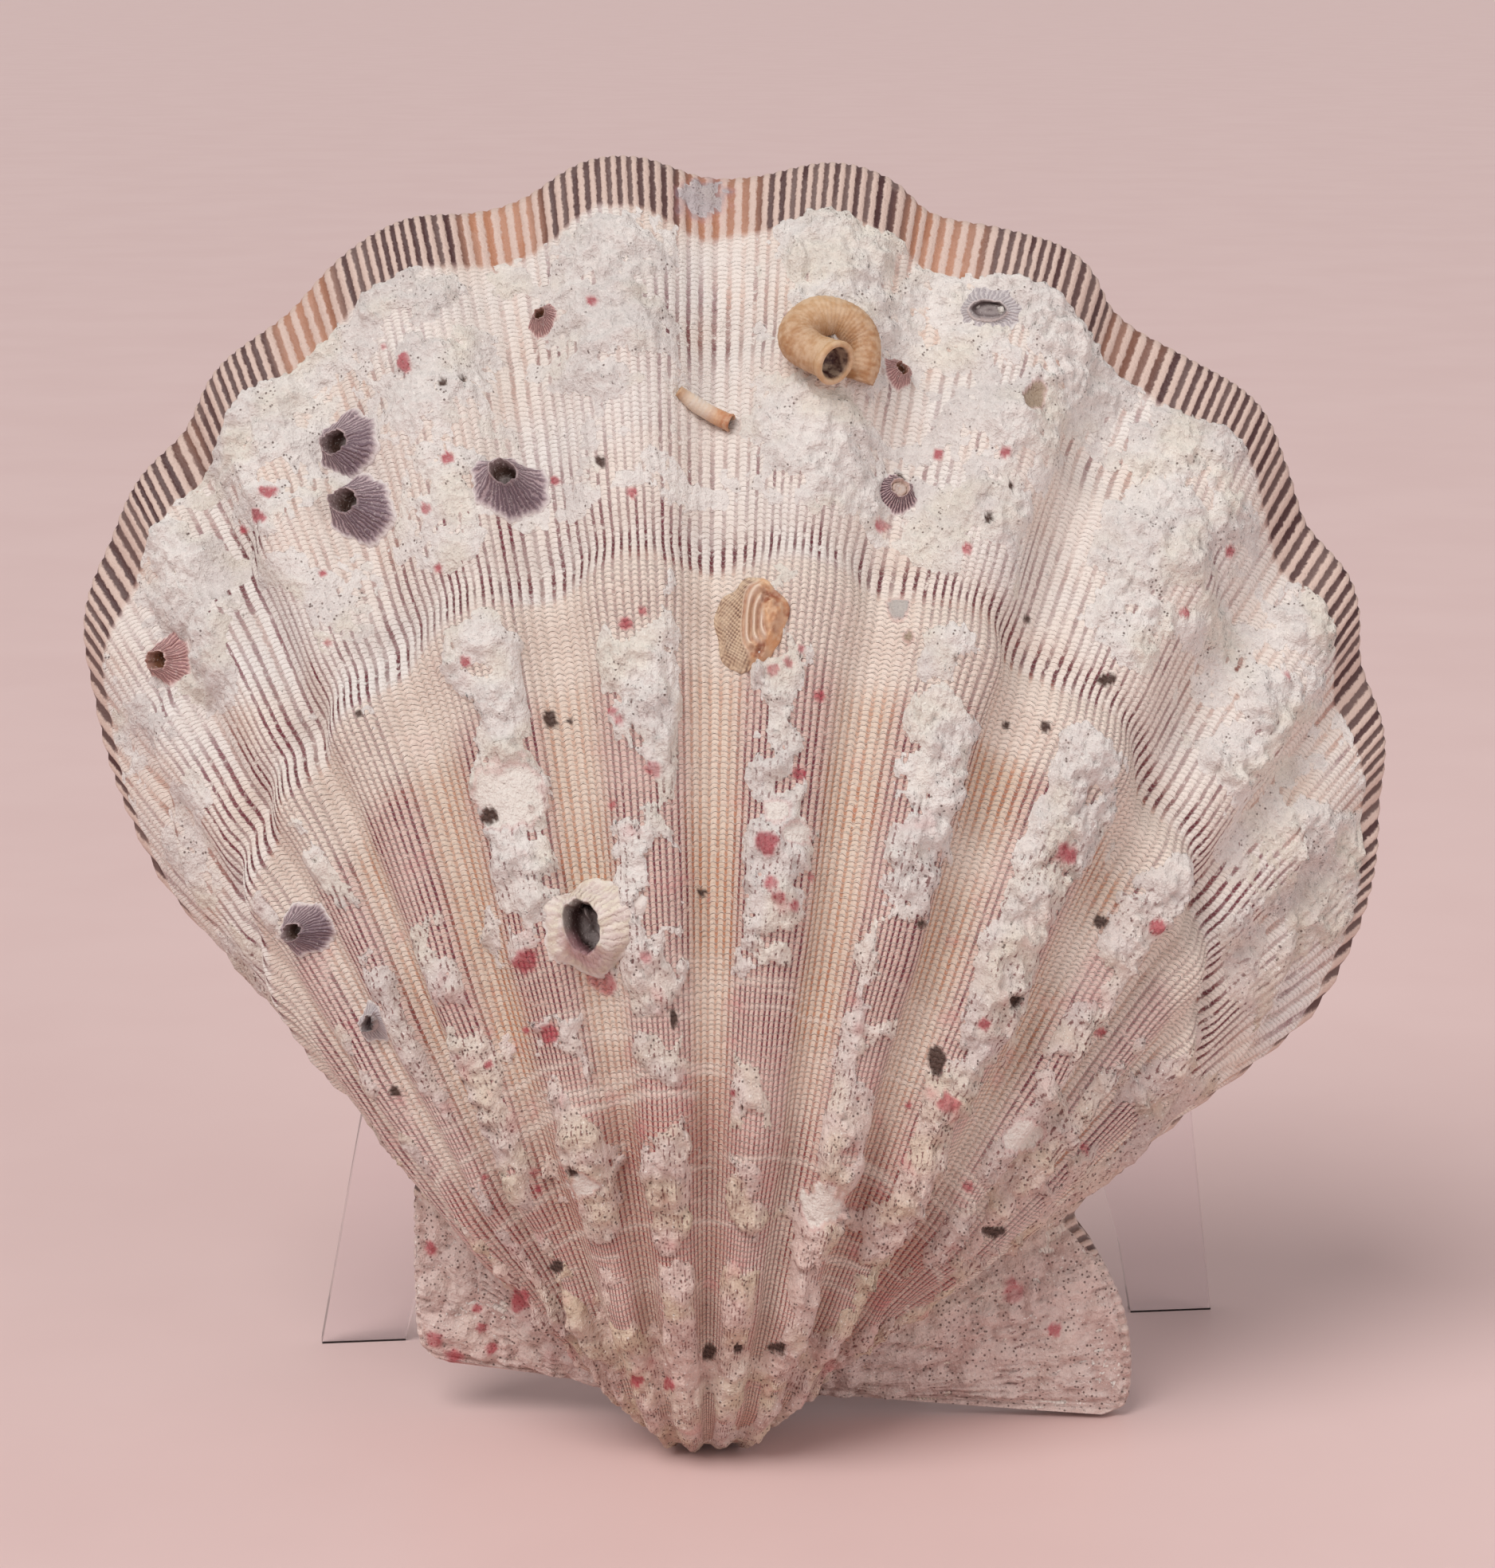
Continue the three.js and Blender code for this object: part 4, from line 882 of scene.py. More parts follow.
def valve_body():
    """The whole valve as one closed mesh: outer face, rim and hollow."""
    across = directions_between(MARGIN_DIRECTION[0], MARGIN_DIRECTION[-1], 4)
    direction, stage = np.meshgrid(across, BODY_STAGES)
    outer = worn_face(direction, stage)
    pixels = photo_pixels(outer)
    edge = crust_edge(direction, outer)
    thickness = crust_thickness(direction, stage, outer, pixels)
    fields = surface_fields(direction, stage, outer, pixels, thickness)
    # Under the crust tiles the body lies a little lower, so that it never shows through them.
    inland = np.minimum(rise(direction, MARGIN_DIRECTION[0] + 1, MARGIN_DIRECTION[0] + 3),
                        rise(direction, MARGIN_DIRECTION[-1] - 1, MARGIN_DIRECTION[-1] - 3))
    ledge = np.minimum(edge, 0.98)
    sunk = lerp(1.3, 0.5, rise(stage, 0.9, 0.94)) * rise(stage, ledge - 0.004, ledge - 0.014)
    outer = worn_face(direction, stage, -sunk * inland * wall_share(direction, stage))
    rows, columns = stage.shape
    index = np.arange(rows * columns).reshape(rows, columns)
    beak = rows * columns
    loop = np.concatenate([[beak], index[::-1, -1], index[0, -2::-1], index[1:, 0]])
    beak_point = stand_up(np.array([[0.0, -EAR_THICKNESS, 0.0]]))
    points = np.concatenate([outer.reshape(-1, 3), beak_point])
    # The rim drops straight to the plane of the margin, seen square on.
    c, s = math.cos(math.radians(LEAN_DEG)), math.sin(math.radians(LEAN_DEG))
    lying = points[loop] - np.array(PLACE)
    flat = stand_up(np.stack([lying[:, 0], np.zeros(len(loop)), lying[:, 1] * s + lying[:, 2] * c], -1))
    back = len(points) + np.arange(len(loop))
    inner_points, inner_colour = inside_grid()
    inner = len(points) + len(loop) + np.arange(SPOKE_ROWS * SPOKES).reshape(SPOKE_ROWS, SPOKES)
    bottom = inner.size + inner[0, 0]
    middle = np.array([[HOLLOW_CENTRE[0], inner_points[-1, :, 1].mean(), HOLLOW_CENTRE[1]]])
    everything = np.concatenate([points, flat, stand_up(inner_points.reshape(-1, 3)), stand_up(middle)])

    tip = np.stack([index[-1, :-1], np.full(columns - 1, beak), index[-1, 1:]], -1)
    following = np.roll(np.arange(len(loop)), -1)
    rim = np.stack([loop, back, back[following], loop[following]], -1)
    spoke_at = 2 * np.pi * np.arange(SPOKES) / SPOKES
    lying_x, lying_z = lying[:, 0] - HOLLOW_CENTRE[0], lying[:, 1] * s + lying[:, 2] * c - HOLLOW_CENTRE[1]
    loop_at = np.mod(np.arctan2(lying_x, lying_z), 2 * np.pi)
    # Start both rings straight up, and go round clockwise.
    order = np.arange(len(loop))[::-1]
    start = np.argmin(loop_at[order])
    order = np.roll(order, -start)
    ring_at = np.maximum.accumulate(loop_at[order])
    ring = zipper(np.append(back[order], back[order[0]]), np.append(ring_at, 2 * np.pi),
                  np.append(inner[0], inner[0, 0]), np.append(spoke_at, 2 * np.pi))
    wrapped = np.concatenate([inner, inner[:, :1]], 1)
    bowl = turned(grid_quads(wrapped))
    cap = np.stack([wrapped[-1, :-1], wrapped[-1, 1:], np.full(SPOKES, bottom)], -1)

    extra = len(loop) + inner.size + 2
    joined = {}
    for key, values in fields.items():
        fill = np.zeros((extra,) + values.shape[2:])
        joined[key] = np.concatenate([flattened(values), fill])
    colour = joined["base"]
    colour[inner.ravel(), :3] = flattened(inner_colour)
    colour[bottom, :3] = PORCELAIN
    colour[back, :3] = blend(PORCELAIN, INSIDE_BROWN, 0.6)
    # The beak point takes the crust's painted shade of the low parts.
    colour[beak, :3] = CHALK_LOW_SHADE
    colour[len(points):, 3] = 0
    faces = [grid_quads(index), rim, bowl, tip, ring, cap]
    inside = [0, 0, 1, 0, 1, 1]
    face_material = np.concatenate([np.full(len(f), m) for f, m in zip(faces, inside)])
    materials = [shell_material(), inside_material()]
    return add_mesh("valve_body", everything, faces, joined, materials, face_material)


# Materials
class Shader:
    """One node material under construction."""

    def __init__(self, name):
        self.material = bpy.data.materials.new(name)
        self.material.use_nodes = True
        self.tree = self.material.node_tree
        self.surface = self.tree.nodes["Principled BSDF"]
        self.place = self.node("ShaderNodeTexCoord").outputs["Object"]

    def node(self, kind, **settings):
        made = self.tree.nodes.new(kind)
        for key, value in settings.items():
            setattr(made, key, value)
        return made

    def put(self, socket, value):
        if isinstance(value, bpy.types.NodeSocket):
            self.tree.links.new(value, socket)
        else:
            socket.default_value = value

    def math(self, operation, *values):
        made = self.node("ShaderNodeMath", operation=operation)
        for socket, value in zip(made.inputs, values):
            self.put(socket, value)
        return made.outputs[0]

    def times(self, a, b):
        return self.math("MULTIPLY", a, b)

    def plus(self, a, b):
        return self.math("ADD", a, b)

    def minus(self, a, b):
        return self.math("SUBTRACT", a, b)

    def off_half(self, value):
        """How far the fraction of a value is from one half."""
        return self.math("ABSOLUTE", self.minus(self.math("FRACT", value), 0.5))

    def span(self, value, low, high, to_low=0.0, to_high=1.0):
        made = self.node("ShaderNodeMapRange", interpolation_type="SMOOTHSTEP")
        for socket, item in zip(made.inputs, (value, low, high, to_low, to_high)):
            self.put(socket, item)
        return made.outputs[0]

    def mix(self, share, a, b):
        made = self.node("ShaderNodeMix", data_type="RGBA")
        for number, item in ((0, share), (6, a), (7, b)):
            self.put(made.inputs[number], item)
        return made.outputs[2]

    def attribute(self, name, *outputs):
        made = self.node("ShaderNodeAttribute", attribute_name=name)
        return [made.outputs[output] for output in outputs]

    def parts(self, name):
        """X, Y and Z of a vector attribute."""
        made = self.node("ShaderNodeSeparateXYZ")
        self.put(made.inputs[0], *self.attribute(name, "Vector"))
        return list(made.outputs)

    def noise(self, size, detail=3.0, roughness=0.6):
        """Noise from about 0 to 1 with lumps of this many mm."""
        made = self.node("ShaderNodeTexNoise")
        self.put(made.inputs["Vector"], self.place)
        self.put(made.inputs["Scale"], 1000.0 / size)
        self.put(made.inputs["Detail"], detail)
        self.put(made.inputs["Roughness"], roughness)
        return made.outputs["Fac"]

    def pores(self, size):
        """Distance from the middles of cells of this many mm."""
        made = self.node("ShaderNodeTexVoronoi")
        self.put(made.inputs["Vector"], self.place)
        self.put(made.inputs["Scale"], 1000.0 / size)
        return made.outputs["Distance"]

    def bump(self, height, depth, under=None):
        """Bump whose full height is this many mm."""
        made = self.node("ShaderNodeBump")
        self.put(made.inputs["Distance"], depth / 1000.0)
        self.put(made.inputs["Height"], height)
        if under is not None:
            self.put(made.inputs["Normal"], under)
        return made.outputs["Normal"]

    def finish(self, colour, roughness, normal=None, **others):
        self.put(self.surface.inputs["Base Color"], colour)
        self.put(self.surface.inputs["Roughness"], roughness)
        if normal is not None:
            self.put(self.surface.inputs["Normal"], normal)
        for key, value in others.items():
            self.put(self.surface.inputs[key], value)
        return self.material


def rgb(r, g, b):
    """Shader colour of 8-bit sRGB values."""
    return (*srgb(r, g, b), 1.0)


SCALE_SPACING = 0.46        # mm along the growth
ACRYLIC_IOR = 1.49
MADE = {}


def once(build):
    """Builds a material the first time and hands back the same one afterwards."""
    def wrapped():
        if build.__name__ not in MADE:
            MADE[build.__name__] = build()
        return MADE[build.__name__]
    return wrapped


@once
def shell_material():
    s = Shader("shell_outside")
    (base, scaly), (stripe, striped), (crust, coat), (stain, stained) = [
        s.attribute(name, "Color", "Alpha") for name in ("base", "stripe", "crust", "stain")]
    hole_shade, = s.attribute("hole_shade", "Fac")
    riblet, growth, rim = s.parts("lines")
    fine, grain, lumps = s.noise(0.35), s.noise(0.9), s.noise(3.5)

    # Riblets: the coloured groove lies where the coordinate is whole.
    wavering = s.plus(riblet, s.times(s.minus(grain, 0.5), 0.3))
    off_middle = s.off_half(s.plus(wavering, s.times(s.minus(fine, 0.5), 0.22)))
    groove = s.span(s.plus(off_middle, s.times(rim, 0.07)), 0.24, 0.4)
    unbroken = s.span(s.plus(grain, s.times(rim, 0.16)), 0.26, 0.46)
    bare = s.mix(s.times(groove, s.times(striped, unbroken)), base, stripe)

    # Scales: small arcs across each riblet, their edges lit by a painted highlight.
    bowed = s.times(s.times(off_middle, off_middle), 1.7)
    along = s.plus(s.math("DIVIDE", growth, SCALE_SPACING), bowed)
    arc = s.span(s.off_half(s.plus(along, s.times(lumps, 2.0))), 0.3, 0.46)
    arc = s.times(arc, scaly)
    # Pale arc lines over the bare shell: painted highlight on the scale edges.
    bare = s.mix(s.times(arc, 0.42), bare, rgb(234, 224, 213))

    # Chalky crust, with dark pores and the grooves that show through it.
    chalk = s.mix(s.span(grain, 0.3, 0.62), s.mix(0.16, crust, rgb(120, 100, 98)), crust)
    chalk = s.mix(s.span(fine, 0.6, 0.75), chalk, rgb(242, 238, 232))
    ragged = s.plus(coat, s.times(s.minus(grain, 0.5), 0.9))
    cover = s.span(ragged, 0.4, 0.6)
    colour = s.mix(cover, bare, chalk)
    crowded = s.plus(lumps, s.span(growth, 78.0, 50.0, 0.0, 0.13))
    speckled = s.times(s.span(s.pores(0.6), 0.32, 0.14), s.span(crowded, 0.52, 0.62))
    speckled = s.times(speckled, s.span(ragged, 0.25, 0.6, 0.15, 0.85))
    colour = s.mix(speckled, colour, rgb(84, 62, 56))
    dashes = s.times(groove, s.span(s.noise(0.6), 0.5, 0.58))
    dashes = s.times(dashes, s.span(growth, 97.0, 70.0, 0.0, 0.8))
    dashes = s.times(dashes, s.times(s.span(s.noise(5.0), 0.42, 0.52), s.span(cover, 0.3, 0.9)))
    dashes = s.times(dashes, s.span(striped, 0.15, 0.6, 0.25, 1.0))
    colour = s.mix(dashes, colour, rgb(112, 58, 56))
    colour = s.mix(s.times(stained, s.span(fine, 0.15, 0.5, 0.6, 1.0)), colour, stain)
    # Bore holes painted dark: painted shade in their depth.
    colour = s.mix(hole_shade, colour, rgb(78, 56, 47))

    normal = s.bump(s.times(arc, s.minus(1.0, cover)), 0.13)
    knobs = s.minus(s.plus(grain, s.times(lumps, 0.6)), 0.78)
    normal = s.bump(s.times(knobs, s.span(cover, 0.0, 1.0, 0.25, 1.0)), 0.55, normal)
    normal = s.bump(fine, 0.13, normal)
    return s.finish(colour, s.span(cover, 0.0, 1.0, 0.5, 0.88), normal)


@once
def inside_material():
    s = Shader("shell_inside")
    base, = s.attribute("base", "Color")
    cloud, fine = s.noise(9.0), s.noise(0.8)
    colour = s.mix(s.span(cloud, 0.35, 0.7, 0.0, 0.35), base, rgb(226, 196, 176))
    return s.finish(colour, s.span(fine, 0.2, 0.8, 0.25, 0.38), s.bump(cloud, 0.1))


@once
def barnacle_material():
    s = Shader("barnacle_plates")
    base, = s.attribute("base", "Color")
    stripe, striped = s.attribute("stripe", "Color", "Alpha")
    across, forward, _ = s.parts("lines")
    fine, grain = s.noise(0.3), s.noise(0.8)
    # Streaks run down the wall: they are counted by the angle round the mouth.
    around = s.times(s.math("ARCTAN2", forward, across), 2 * STREAKS)
    wave = s.math("SINE", s.plus(around, s.times(grain, 9.0)))
    colour = s.mix(s.times(s.span(wave, -0.7, 0.5), striped), base, stripe)
    colour = s.mix(s.span(fine, 0.56, 0.75, 0.0, 0.45), colour, rgb(236, 228, 224))
    normal = s.bump(s.times(wave, striped), 0.1)
    normal = s.bump(s.times(grain, s.minus(1.0, striped)), 0.35, normal)
    return s.finish(colour, s.span(grain, 0.2, 0.8, 0.5, 0.75), s.bump(fine, 0.08, normal))


@once
def worm_material():
    s = Shader("worm_tube_lime")
    base, = s.attribute("base", "Color")
    fine, grain = s.noise(0.3), s.noise(1.1)
    colour = s.mix(s.span(grain, 0.35, 0.65, 0.0, 0.45), base, rgb(222, 200, 172))
    return s.finish(colour, s.span(grain, 0.2, 0.8, 0.5, 0.75), s.bump(fine, 0.08))


@once
def acrylic_material():
    s = Shader("clear_acrylic")
    scuffs = s.span(s.noise(6.0), 0.4, 0.8, 0.02, 0.06)
    return s.finish(rgb(250, 248, 250), scuffs, **{"Transmission Weight": 1.0, "IOR": ACRYLIC_IOR})


@once
def floor_material():
    s = Shader("floor_paint")
    return s.finish(s.mix(s.span(s.noise(60.0), 0.3, 0.7), rgb(226, 196, 192), rgb(229, 200, 196)), 0.4)


# Growths on the valve
CRUST_LIFT = 0.1            # height of their feet over the bare face, mm
SINK = 1.3                  # depth of their closed ends below it, mm


def seat(at, right, up, height=0.0):
    """Point on the ribbed face this far right and up of a place on it, in the standing pose."""
    direction, stage = np.float64(at[0]), np.float64(at[1])
    per_degree = smooth_face(direction + 0.5, stage) - smooth_face(direction - 0.5, stage)
    per_stage = (smooth_face(direction, stage + 0.01) - smooth_face(direction, stage - 0.01)) * 50
    east = per_degree / np.linalg.norm(per_degree)
    normal = np.cross(per_degree, per_stage)
    normal /= np.linalg.norm(normal)
    north = np.cross(normal, east)
    stage_step = up / (per_stage @ north)
    degree_step = (right - stage_step * (per_stage @ east)) / np.linalg.norm(per_degree)
    there = direction + degree_step, np.minimum(0.995, stage + stage_step)
    lying = smooth_face(*there) + face_normal(*there) * np.asarray(relief(*there) + CRUST_LIFT)[..., None]
    return stand_up(lying + normal * np.asarray(height)[..., None])


BARNACLE_SEGMENTS = 96
BRIGHT_RIM = srgb(222, 200, 194)
ROSE_TINT = srgb(176, 122, 130)

# Wall, streaks, strength of the streaks and inside of each colour form. The dark inside of the open forms is
# painted shade in the crater; the filled form's pale inside is its filling.
BARNACLE_FORMS = {
    "purple": (srgb(184, 164, 168), srgb(96, 74, 86), 0.72, srgb(74, 50, 41)),
    "rose": (srgb(206, 166, 160), srgb(136, 88, 94), 0.7, srgb(112, 70, 44)),
    "white": (srgb(222, 211, 202), srgb(178, 148, 150), 0.3, srgb(56, 34, 30)),
    "filled": (srgb(196, 168, 170), srgb(84, 56, 68), 0.9, srgb(190, 166, 150)),
    "crushed": (srgb(200, 194, 194), srgb(120, 106, 118), 0.42, srgb(104, 90, 90)),
}

# Direction and stage, foot radius, height, mouth share, shift of the mouth, colour form.
BARNACLES = {
    "barnacle_large": ((-9.6, 0.495), 4.8, 3.6, 0.5, (-0.2, 0.08), "white"),
    "barnacle_upper_left_1": ((-19.8, 0.871), 3.7, 2.8, 0.42, (-0.3, 0.15), "purple"),
    "barnacle_upper_left_2": ((-20.1, 0.82), 3.6, 2.8, 0.41, (-0.2, 0.4), "purple"),
    "barnacle_upper_left_3": ((-11.4, 0.782), 3.6, 2.8, 0.41, (-0.1, 0.3), "purple"),
    "barnacle_left_edge": ((-35.1, 0.876), 2.7, 2.3, 0.4, (-0.3, 0.3), "rose"),
    "barnacle_left_low": ((-36.0, 0.626), 2.7, 2.3, 0.36, (-0.2, 0.2), "purple"),
    "barnacle_left_small": ((-34.5, 0.529), 2.0, 1.7, 0.45, (0.0, 0.1), "crushed"),
    "barnacle_top_small": ((-8.3, 0.898), 1.8, 1.5, 0.4, (0.0, 0.2), "rose"),
    "barnacle_right_upper": ((10.3, 0.866), 1.9, 1.6, 0.45, (0.1, 0.2), "rose"),
    "barnacle_right_filled": ((11.4, 0.782), 2.1, 1.6, 0.5, (0.1, 0.2), "filled"),
    "barnacle_right_crushed": ((14.5, 0.93), 3.4, 1.2, 0.45, (-0.1, -0.2), "crushed"),
}
WALL_STEPS = 14
STREAKS = 17
BARNACLE_FOOT = 1.12        # foot of the wall, as a share of the radius
CONE, CRATER, LID = 0, 1, 2
# How much wider and taller the mouth is than the foot's shape makes it.
SQUEEZE = {"white": (0.78, 1.3), "crushed": (1.3, 0.8)}


def barnacle_rows(mouth, lid):
    """Rings from the foot to the lid: share of the radius, height and zone."""
    crater = ((0.94, 0.99), (0.87, 0.85), (0.83, 0.6), (0.8, max(lid, 0.35)))
    rows = [(BARNACLE_FOOT, None, CONE)]
    rows += [(lerp(BARNACLE_FOOT, mouth, t), t ** 1.15, CONE) for t in np.linspace(0, 1, WALL_STEPS)]
    rows += [(mouth * s, up, CRATER) for s, up in crater]
    return rows + [(mouth * s, lid + up, LID) for s, up in ((0.72, 0.0), (0.5, 0.05), (0.25, 0.1))]


def barnacle_tone(form, zone, share, level, mouth, angle, around):
    """Colours round one ring of a barnacle."""
    wall, streak, _, inner = BARNACLE_FORMS[form]
    if zone == CONE:
        tone = blend(wall, CHALK, 0.8 * rise(level, 0.2, 0.0))
        tone = blend(tone, BRIGHT_RIM, 0.35 * rise(level, 0.9, 1.0))
    elif zone == CRATER:
        # Darker further down the crater, and round the lid below: painted shade.
        tone = blend(inner, wall, 0.35 * rise(level, 0.6, 1.0))
    else:
        tone = blend(inner, blend(CHALK_GREY, inner, 0.4), 0.75 if share < 0.55 * mouth else 0.2)
    tone = tone * np.ones((BARNACLE_SEGMENTS, 3))
    if form == "purple" and zone == CONE:
        tone = blend(tone, streak, 0.6 * bell(np.cos(angle + 1.4), 1.0, 0.7) * rise(level, 0.05, 0.3))
    if form == "white" and zone != LID:
        tone = blend(tone, CHALK_YELLOW, 0.6 * (zone == CONE) * rise(noise(around, 1.2, 335), -0.2, 0.5))
        tone = blend(tone, ROSE_TINT, 0.6 * rise(-np.sin(angle + 0.5), 0.3, 0.9) * rise(level, 0.3, 0.8))
    return tone


def barnacle(name, at, radius, height, mouth, shift, form):
    """Cone of streaked wall plates round a crater, with the closing plates low inside."""
    _, streak, strength, inner = BARNACLE_FORMS[form]
    chance = np.random.default_rng(sum(map(ord, name)))
    turn, slit = chance.uniform(0, 2 * np.pi, 2)
    angle = 2 * np.pi * np.arange(BARNACLE_SEGMENTS) / BARNACLE_SEGMENTS
    plates = 0.05 * np.cos(6 * angle + turn) + 0.05 * np.sin(2 * angle + slit)
    plates = plates + 0.03 * np.sin(3 * angle + slit)
    rough = form == "white"
    ribbed = (0.008 if rough else 0.025) * np.cos(STREAKS * angle + 2 * np.sin(3 * angle + turn))
    squeeze = SQUEEZE.get(form, (1.0, 1.0))
    jagged = 0.09 * np.sin(3 * angle + turn) + 0.06 * np.sin(7 * angle + slit) + 0.04 * np.sin(13 * angle)
    lid = 0.75 if form == "filled" else 0.22
    rings, colours, streaks, fans = [], [], [], []
    for share, up, zone in barnacle_rows(mouth, lid):
        level = 0.0 if up is None else up
        uneven = (plates + ribbed) * (1.3 - level) if zone == CONE else 0.4 * plates
        outward = share * (1 + uneven)
        tall = height * (level + jagged * level ** 2 * (zone != LID)) - (SINK if up is None else 0.0)
        if zone == LID:
            tall = tall + 0.14 * height * np.abs(np.cos(angle - slit)) * (share > 0.3 * mouth)
        if form == "crushed" and zone == CONE:
            tall = tall * np.where(tall > 0, 0.75 + 0.45 * np.sin(angle + turn), 1.0)
        fan = np.stack([np.cos(angle), np.sin(angle), np.full(angle.shape, level)], -1)
        around = fan * radius
        if rough and zone != LID:
            lumps = fractal(around * [1, 1, zone == CONE], 1.4, 3, 331)
            tall = tall + (0.6 if zone == CONE else 1.0) * (tall > 0) * lumps
            outward = outward * (1 + 0.1 * fractal(around, 1.8, 3, 333))
        if rough and zone == LID:
            tall = tall + 0.45 * height * bell(np.cos(angle - 0.6), 0.4, 0.3) * (share > 0.2)
        reach = rise(level, 0.0, 1.0) if zone == CONE else 1.0
        right = radius * (outward * np.cos(angle) * lerp(1.0, squeeze[0], reach) + shift[0] * level)
        forward = radius * (outward * np.sin(angle) * lerp(1.0, squeeze[1], reach) + shift[1] * level)
        rings.append(seat(at, right, forward, tall))
        colours.append(barnacle_tone(form, zone, share, level, mouth, angle, around))
        bare = strength * rise(level, 0.02, 0.25) * rise(level, 1.0, 0.9) if zone == CONE else 0.0
        streaks.append(np.full(BARNACLE_SEGMENTS, bare))
        fans.append(fan)
    tip = radius * np.array(shift) * (lid + 0.1)
    points, faces = stacked_rings(rings, seat(at, 0.0, 0.0, -SINK), seat(at, *tip, height * (lid + 0.1)))
    faces = [turned(f) for f in faces]
    tones = np.concatenate([*colours, [CHALK, inner]])
    fields = {"base": rgba(tones, 1.0),
              "stripe": rgba(streak * np.ones((len(tones), 3)), np.concatenate([*streaks, [0, 0]])),
              "lines": np.concatenate([*fans, [[1, 0, 0], [1, 0, 0]]])}
    return add_mesh(name + "_shell", points, faces, fields, [barnacle_material()])


WORM_TAN = srgb(174, 126, 84)
WORM_PALE = srgb(204, 166, 124)
# Painted shade inside the bore of the worm tubes.
BORE_SHADE = srgb(64, 28, 24)


def spline3(points, count):
    """Uniform curve through points, sampled at count + 1 places."""
    n = len(points)
    at = np.linspace(0, n - 1, count + 1)
    k = np.minimum(at.astype(int), n - 2)
    t = (at - k)[:, None]
    p1, p2 = points[k], points[k + 1]
    p0 = np.where((k > 0)[:, None], points[np.maximum(k - 1, 0)], 2 * p1 - p2)
    p3 = np.where((k + 2 < n)[:, None], points[np.minimum(k + 2, n - 1)], 2 * p2 - p1)
    return p1 + 0.5 * t * (p2 - p0 + t * (2 * p0 - 5 * p1 + 4 * p2 - p3 + t * (3 * (p1 - p2) + p3 - p0)))


RINGS_PER_MM = 1.9
BORE_DEPTH = 2.0
# Rings round the mouth and down the bore: share of the bore's radius and place along the tube, mm.
MOUTH_RINGS = [(0.92, 0.16), (0.8, 0.1), (0.7, -0.3), (0.6, -1.2), (0.45, -BORE_DEPTH)]
# The bore's last rings are painted dark: painted shade down the bore.
DARK_RINGS = 3              # the last ones, in the dark of the bore


def swept_tube(name, at, route, radius, tones, segments=40, stations=260):
    """Tube with annular rings along a route of (right, up, height) places, open at its last end."""
    route = spline3(np.array(route, float), stations)
    centre = seat(at, route[:, 0], route[:, 1], route[:, 2])
    tangent = np.gradient(centre, axis=0)
    tangent /= np.linalg.norm(tangent, axis=1, keepdims=True)
    away = seat(at, 0.0, 0.0, 1.0) - seat(at, 0.0, 0.0, 0.0)
    side = np.cross(tangent, away)
    side /= np.linalg.norm(side, axis=1, keepdims=True)
    over = np.cross(side, tangent)
    length = np.concatenate([[0], np.cumsum(np.linalg.norm(np.diff(centre, axis=0), axis=1))])
    share = length / length[-1]
    thick = radius * (0.7 + 0.3 * rise(share, 0, 0.4))
    swell = np.cos(2 * np.pi * length * RINGS_PER_MM)
    ringed = 1 + 0.012 * swell + 0.03 * np.sin(length * 1.3)
    angle = 2 * np.pi * np.arange(segments) / segments
    flare = 1 + 0.12 * rise(share, 0.93, 1.0)
    rows = [(i, thick[i] * ringed[i] * flare[i], 0.0) for i in range(len(route))]
    last = len(route) - 1
    rows += [(last, thick[last] * flare[last] * part, along) for part, along in MOUTH_RINGS]
    tones_at = np.linspace(0, 1, len(tones))
    rings, colours = [], []
    for number, (i, size, along) in enumerate(rows):
        round_it = np.cos(angle)[:, None] * side[i] + np.sin(angle)[:, None] * over[i]
        rings.append(centre[i] + along * tangent[i] + size * round_it)
        own = np.array([np.interp(share[i], tones_at, [tone[c] for tone in tones]) for c in range(3)])
        # Paler on the swell of each ring and darker between: painted highlight and painted shade on the
        # rings.
        tone = blend(own * 0.9, WORM_PALE, 0.25 * (0.5 + 0.5 * swell[i]))
        # Down the bore the tube is painted dark: painted shade.
        if number >= len(rows) - DARK_RINGS:
            tone = BORE_SHADE
        colours.append(tone * np.ones((segments, 3)))
    points, faces = stacked_rings(rings, centre[0], centre[last] - BORE_DEPTH * tangent[last])
    fields = {"base": rgba(np.concatenate([*colours, [WORM_TAN, BORE_SHADE]]), 1.0)}
    return add_mesh(name, points, faces, fields, [worm_material()])


# Places along the tubes: right, up and height of the middle line, mm.
COILED_ROUTE = [(3.3, -3.0, 0.5), (3.5, -0.8, 1.2), (2.8, 1.5, 1.6), (0.8, 2.8, 1.8), (-1.5, 2.6, 1.9),
                (-3.0, 0.9, 2.0), (-2.9, -1.0, 2.2), (-1.6, -2.6, 2.7), (-0.2, -3.6, 3.6), (0.6, -4.4, 4.6)]
SMALL_ROUTE = [(-3.2, 0.9, 0.3), (-1.0, 0.2, 0.9), (1.2, -0.6, 1.0), (3.0, -1.4, 0.6)]

FLAT_AT = (3.2, 0.669)      # direction and stage of its middle
FLAT_WIDTH, FLAT_STRETCH = 3.6, 1.35
FLAT_SEGMENTS = 130
FLAT_FOCUS = (2.3, -0.6)    # right and up of its middle: the plates curl round this place
FLAT_PLATE = 0.85           # spacing of the curled plates, mm
FLAT_SHARES = np.concatenate([[1.06, 1.06], np.linspace(1.0, 0.02, 60)])
# Low and high places of its plates, of its beaded edge and of its orange part: darker low and paler high,
# painted shade and painted highlight on their relief.
PLATE_TONES = srgb(182, 136, 110), srgb(228, 208, 190)
BEAD_TONES = srgb(124, 92, 78), srgb(212, 186, 158)
ORANGE_TONES = srgb(150, 92, 66), srgb(212, 160, 116)


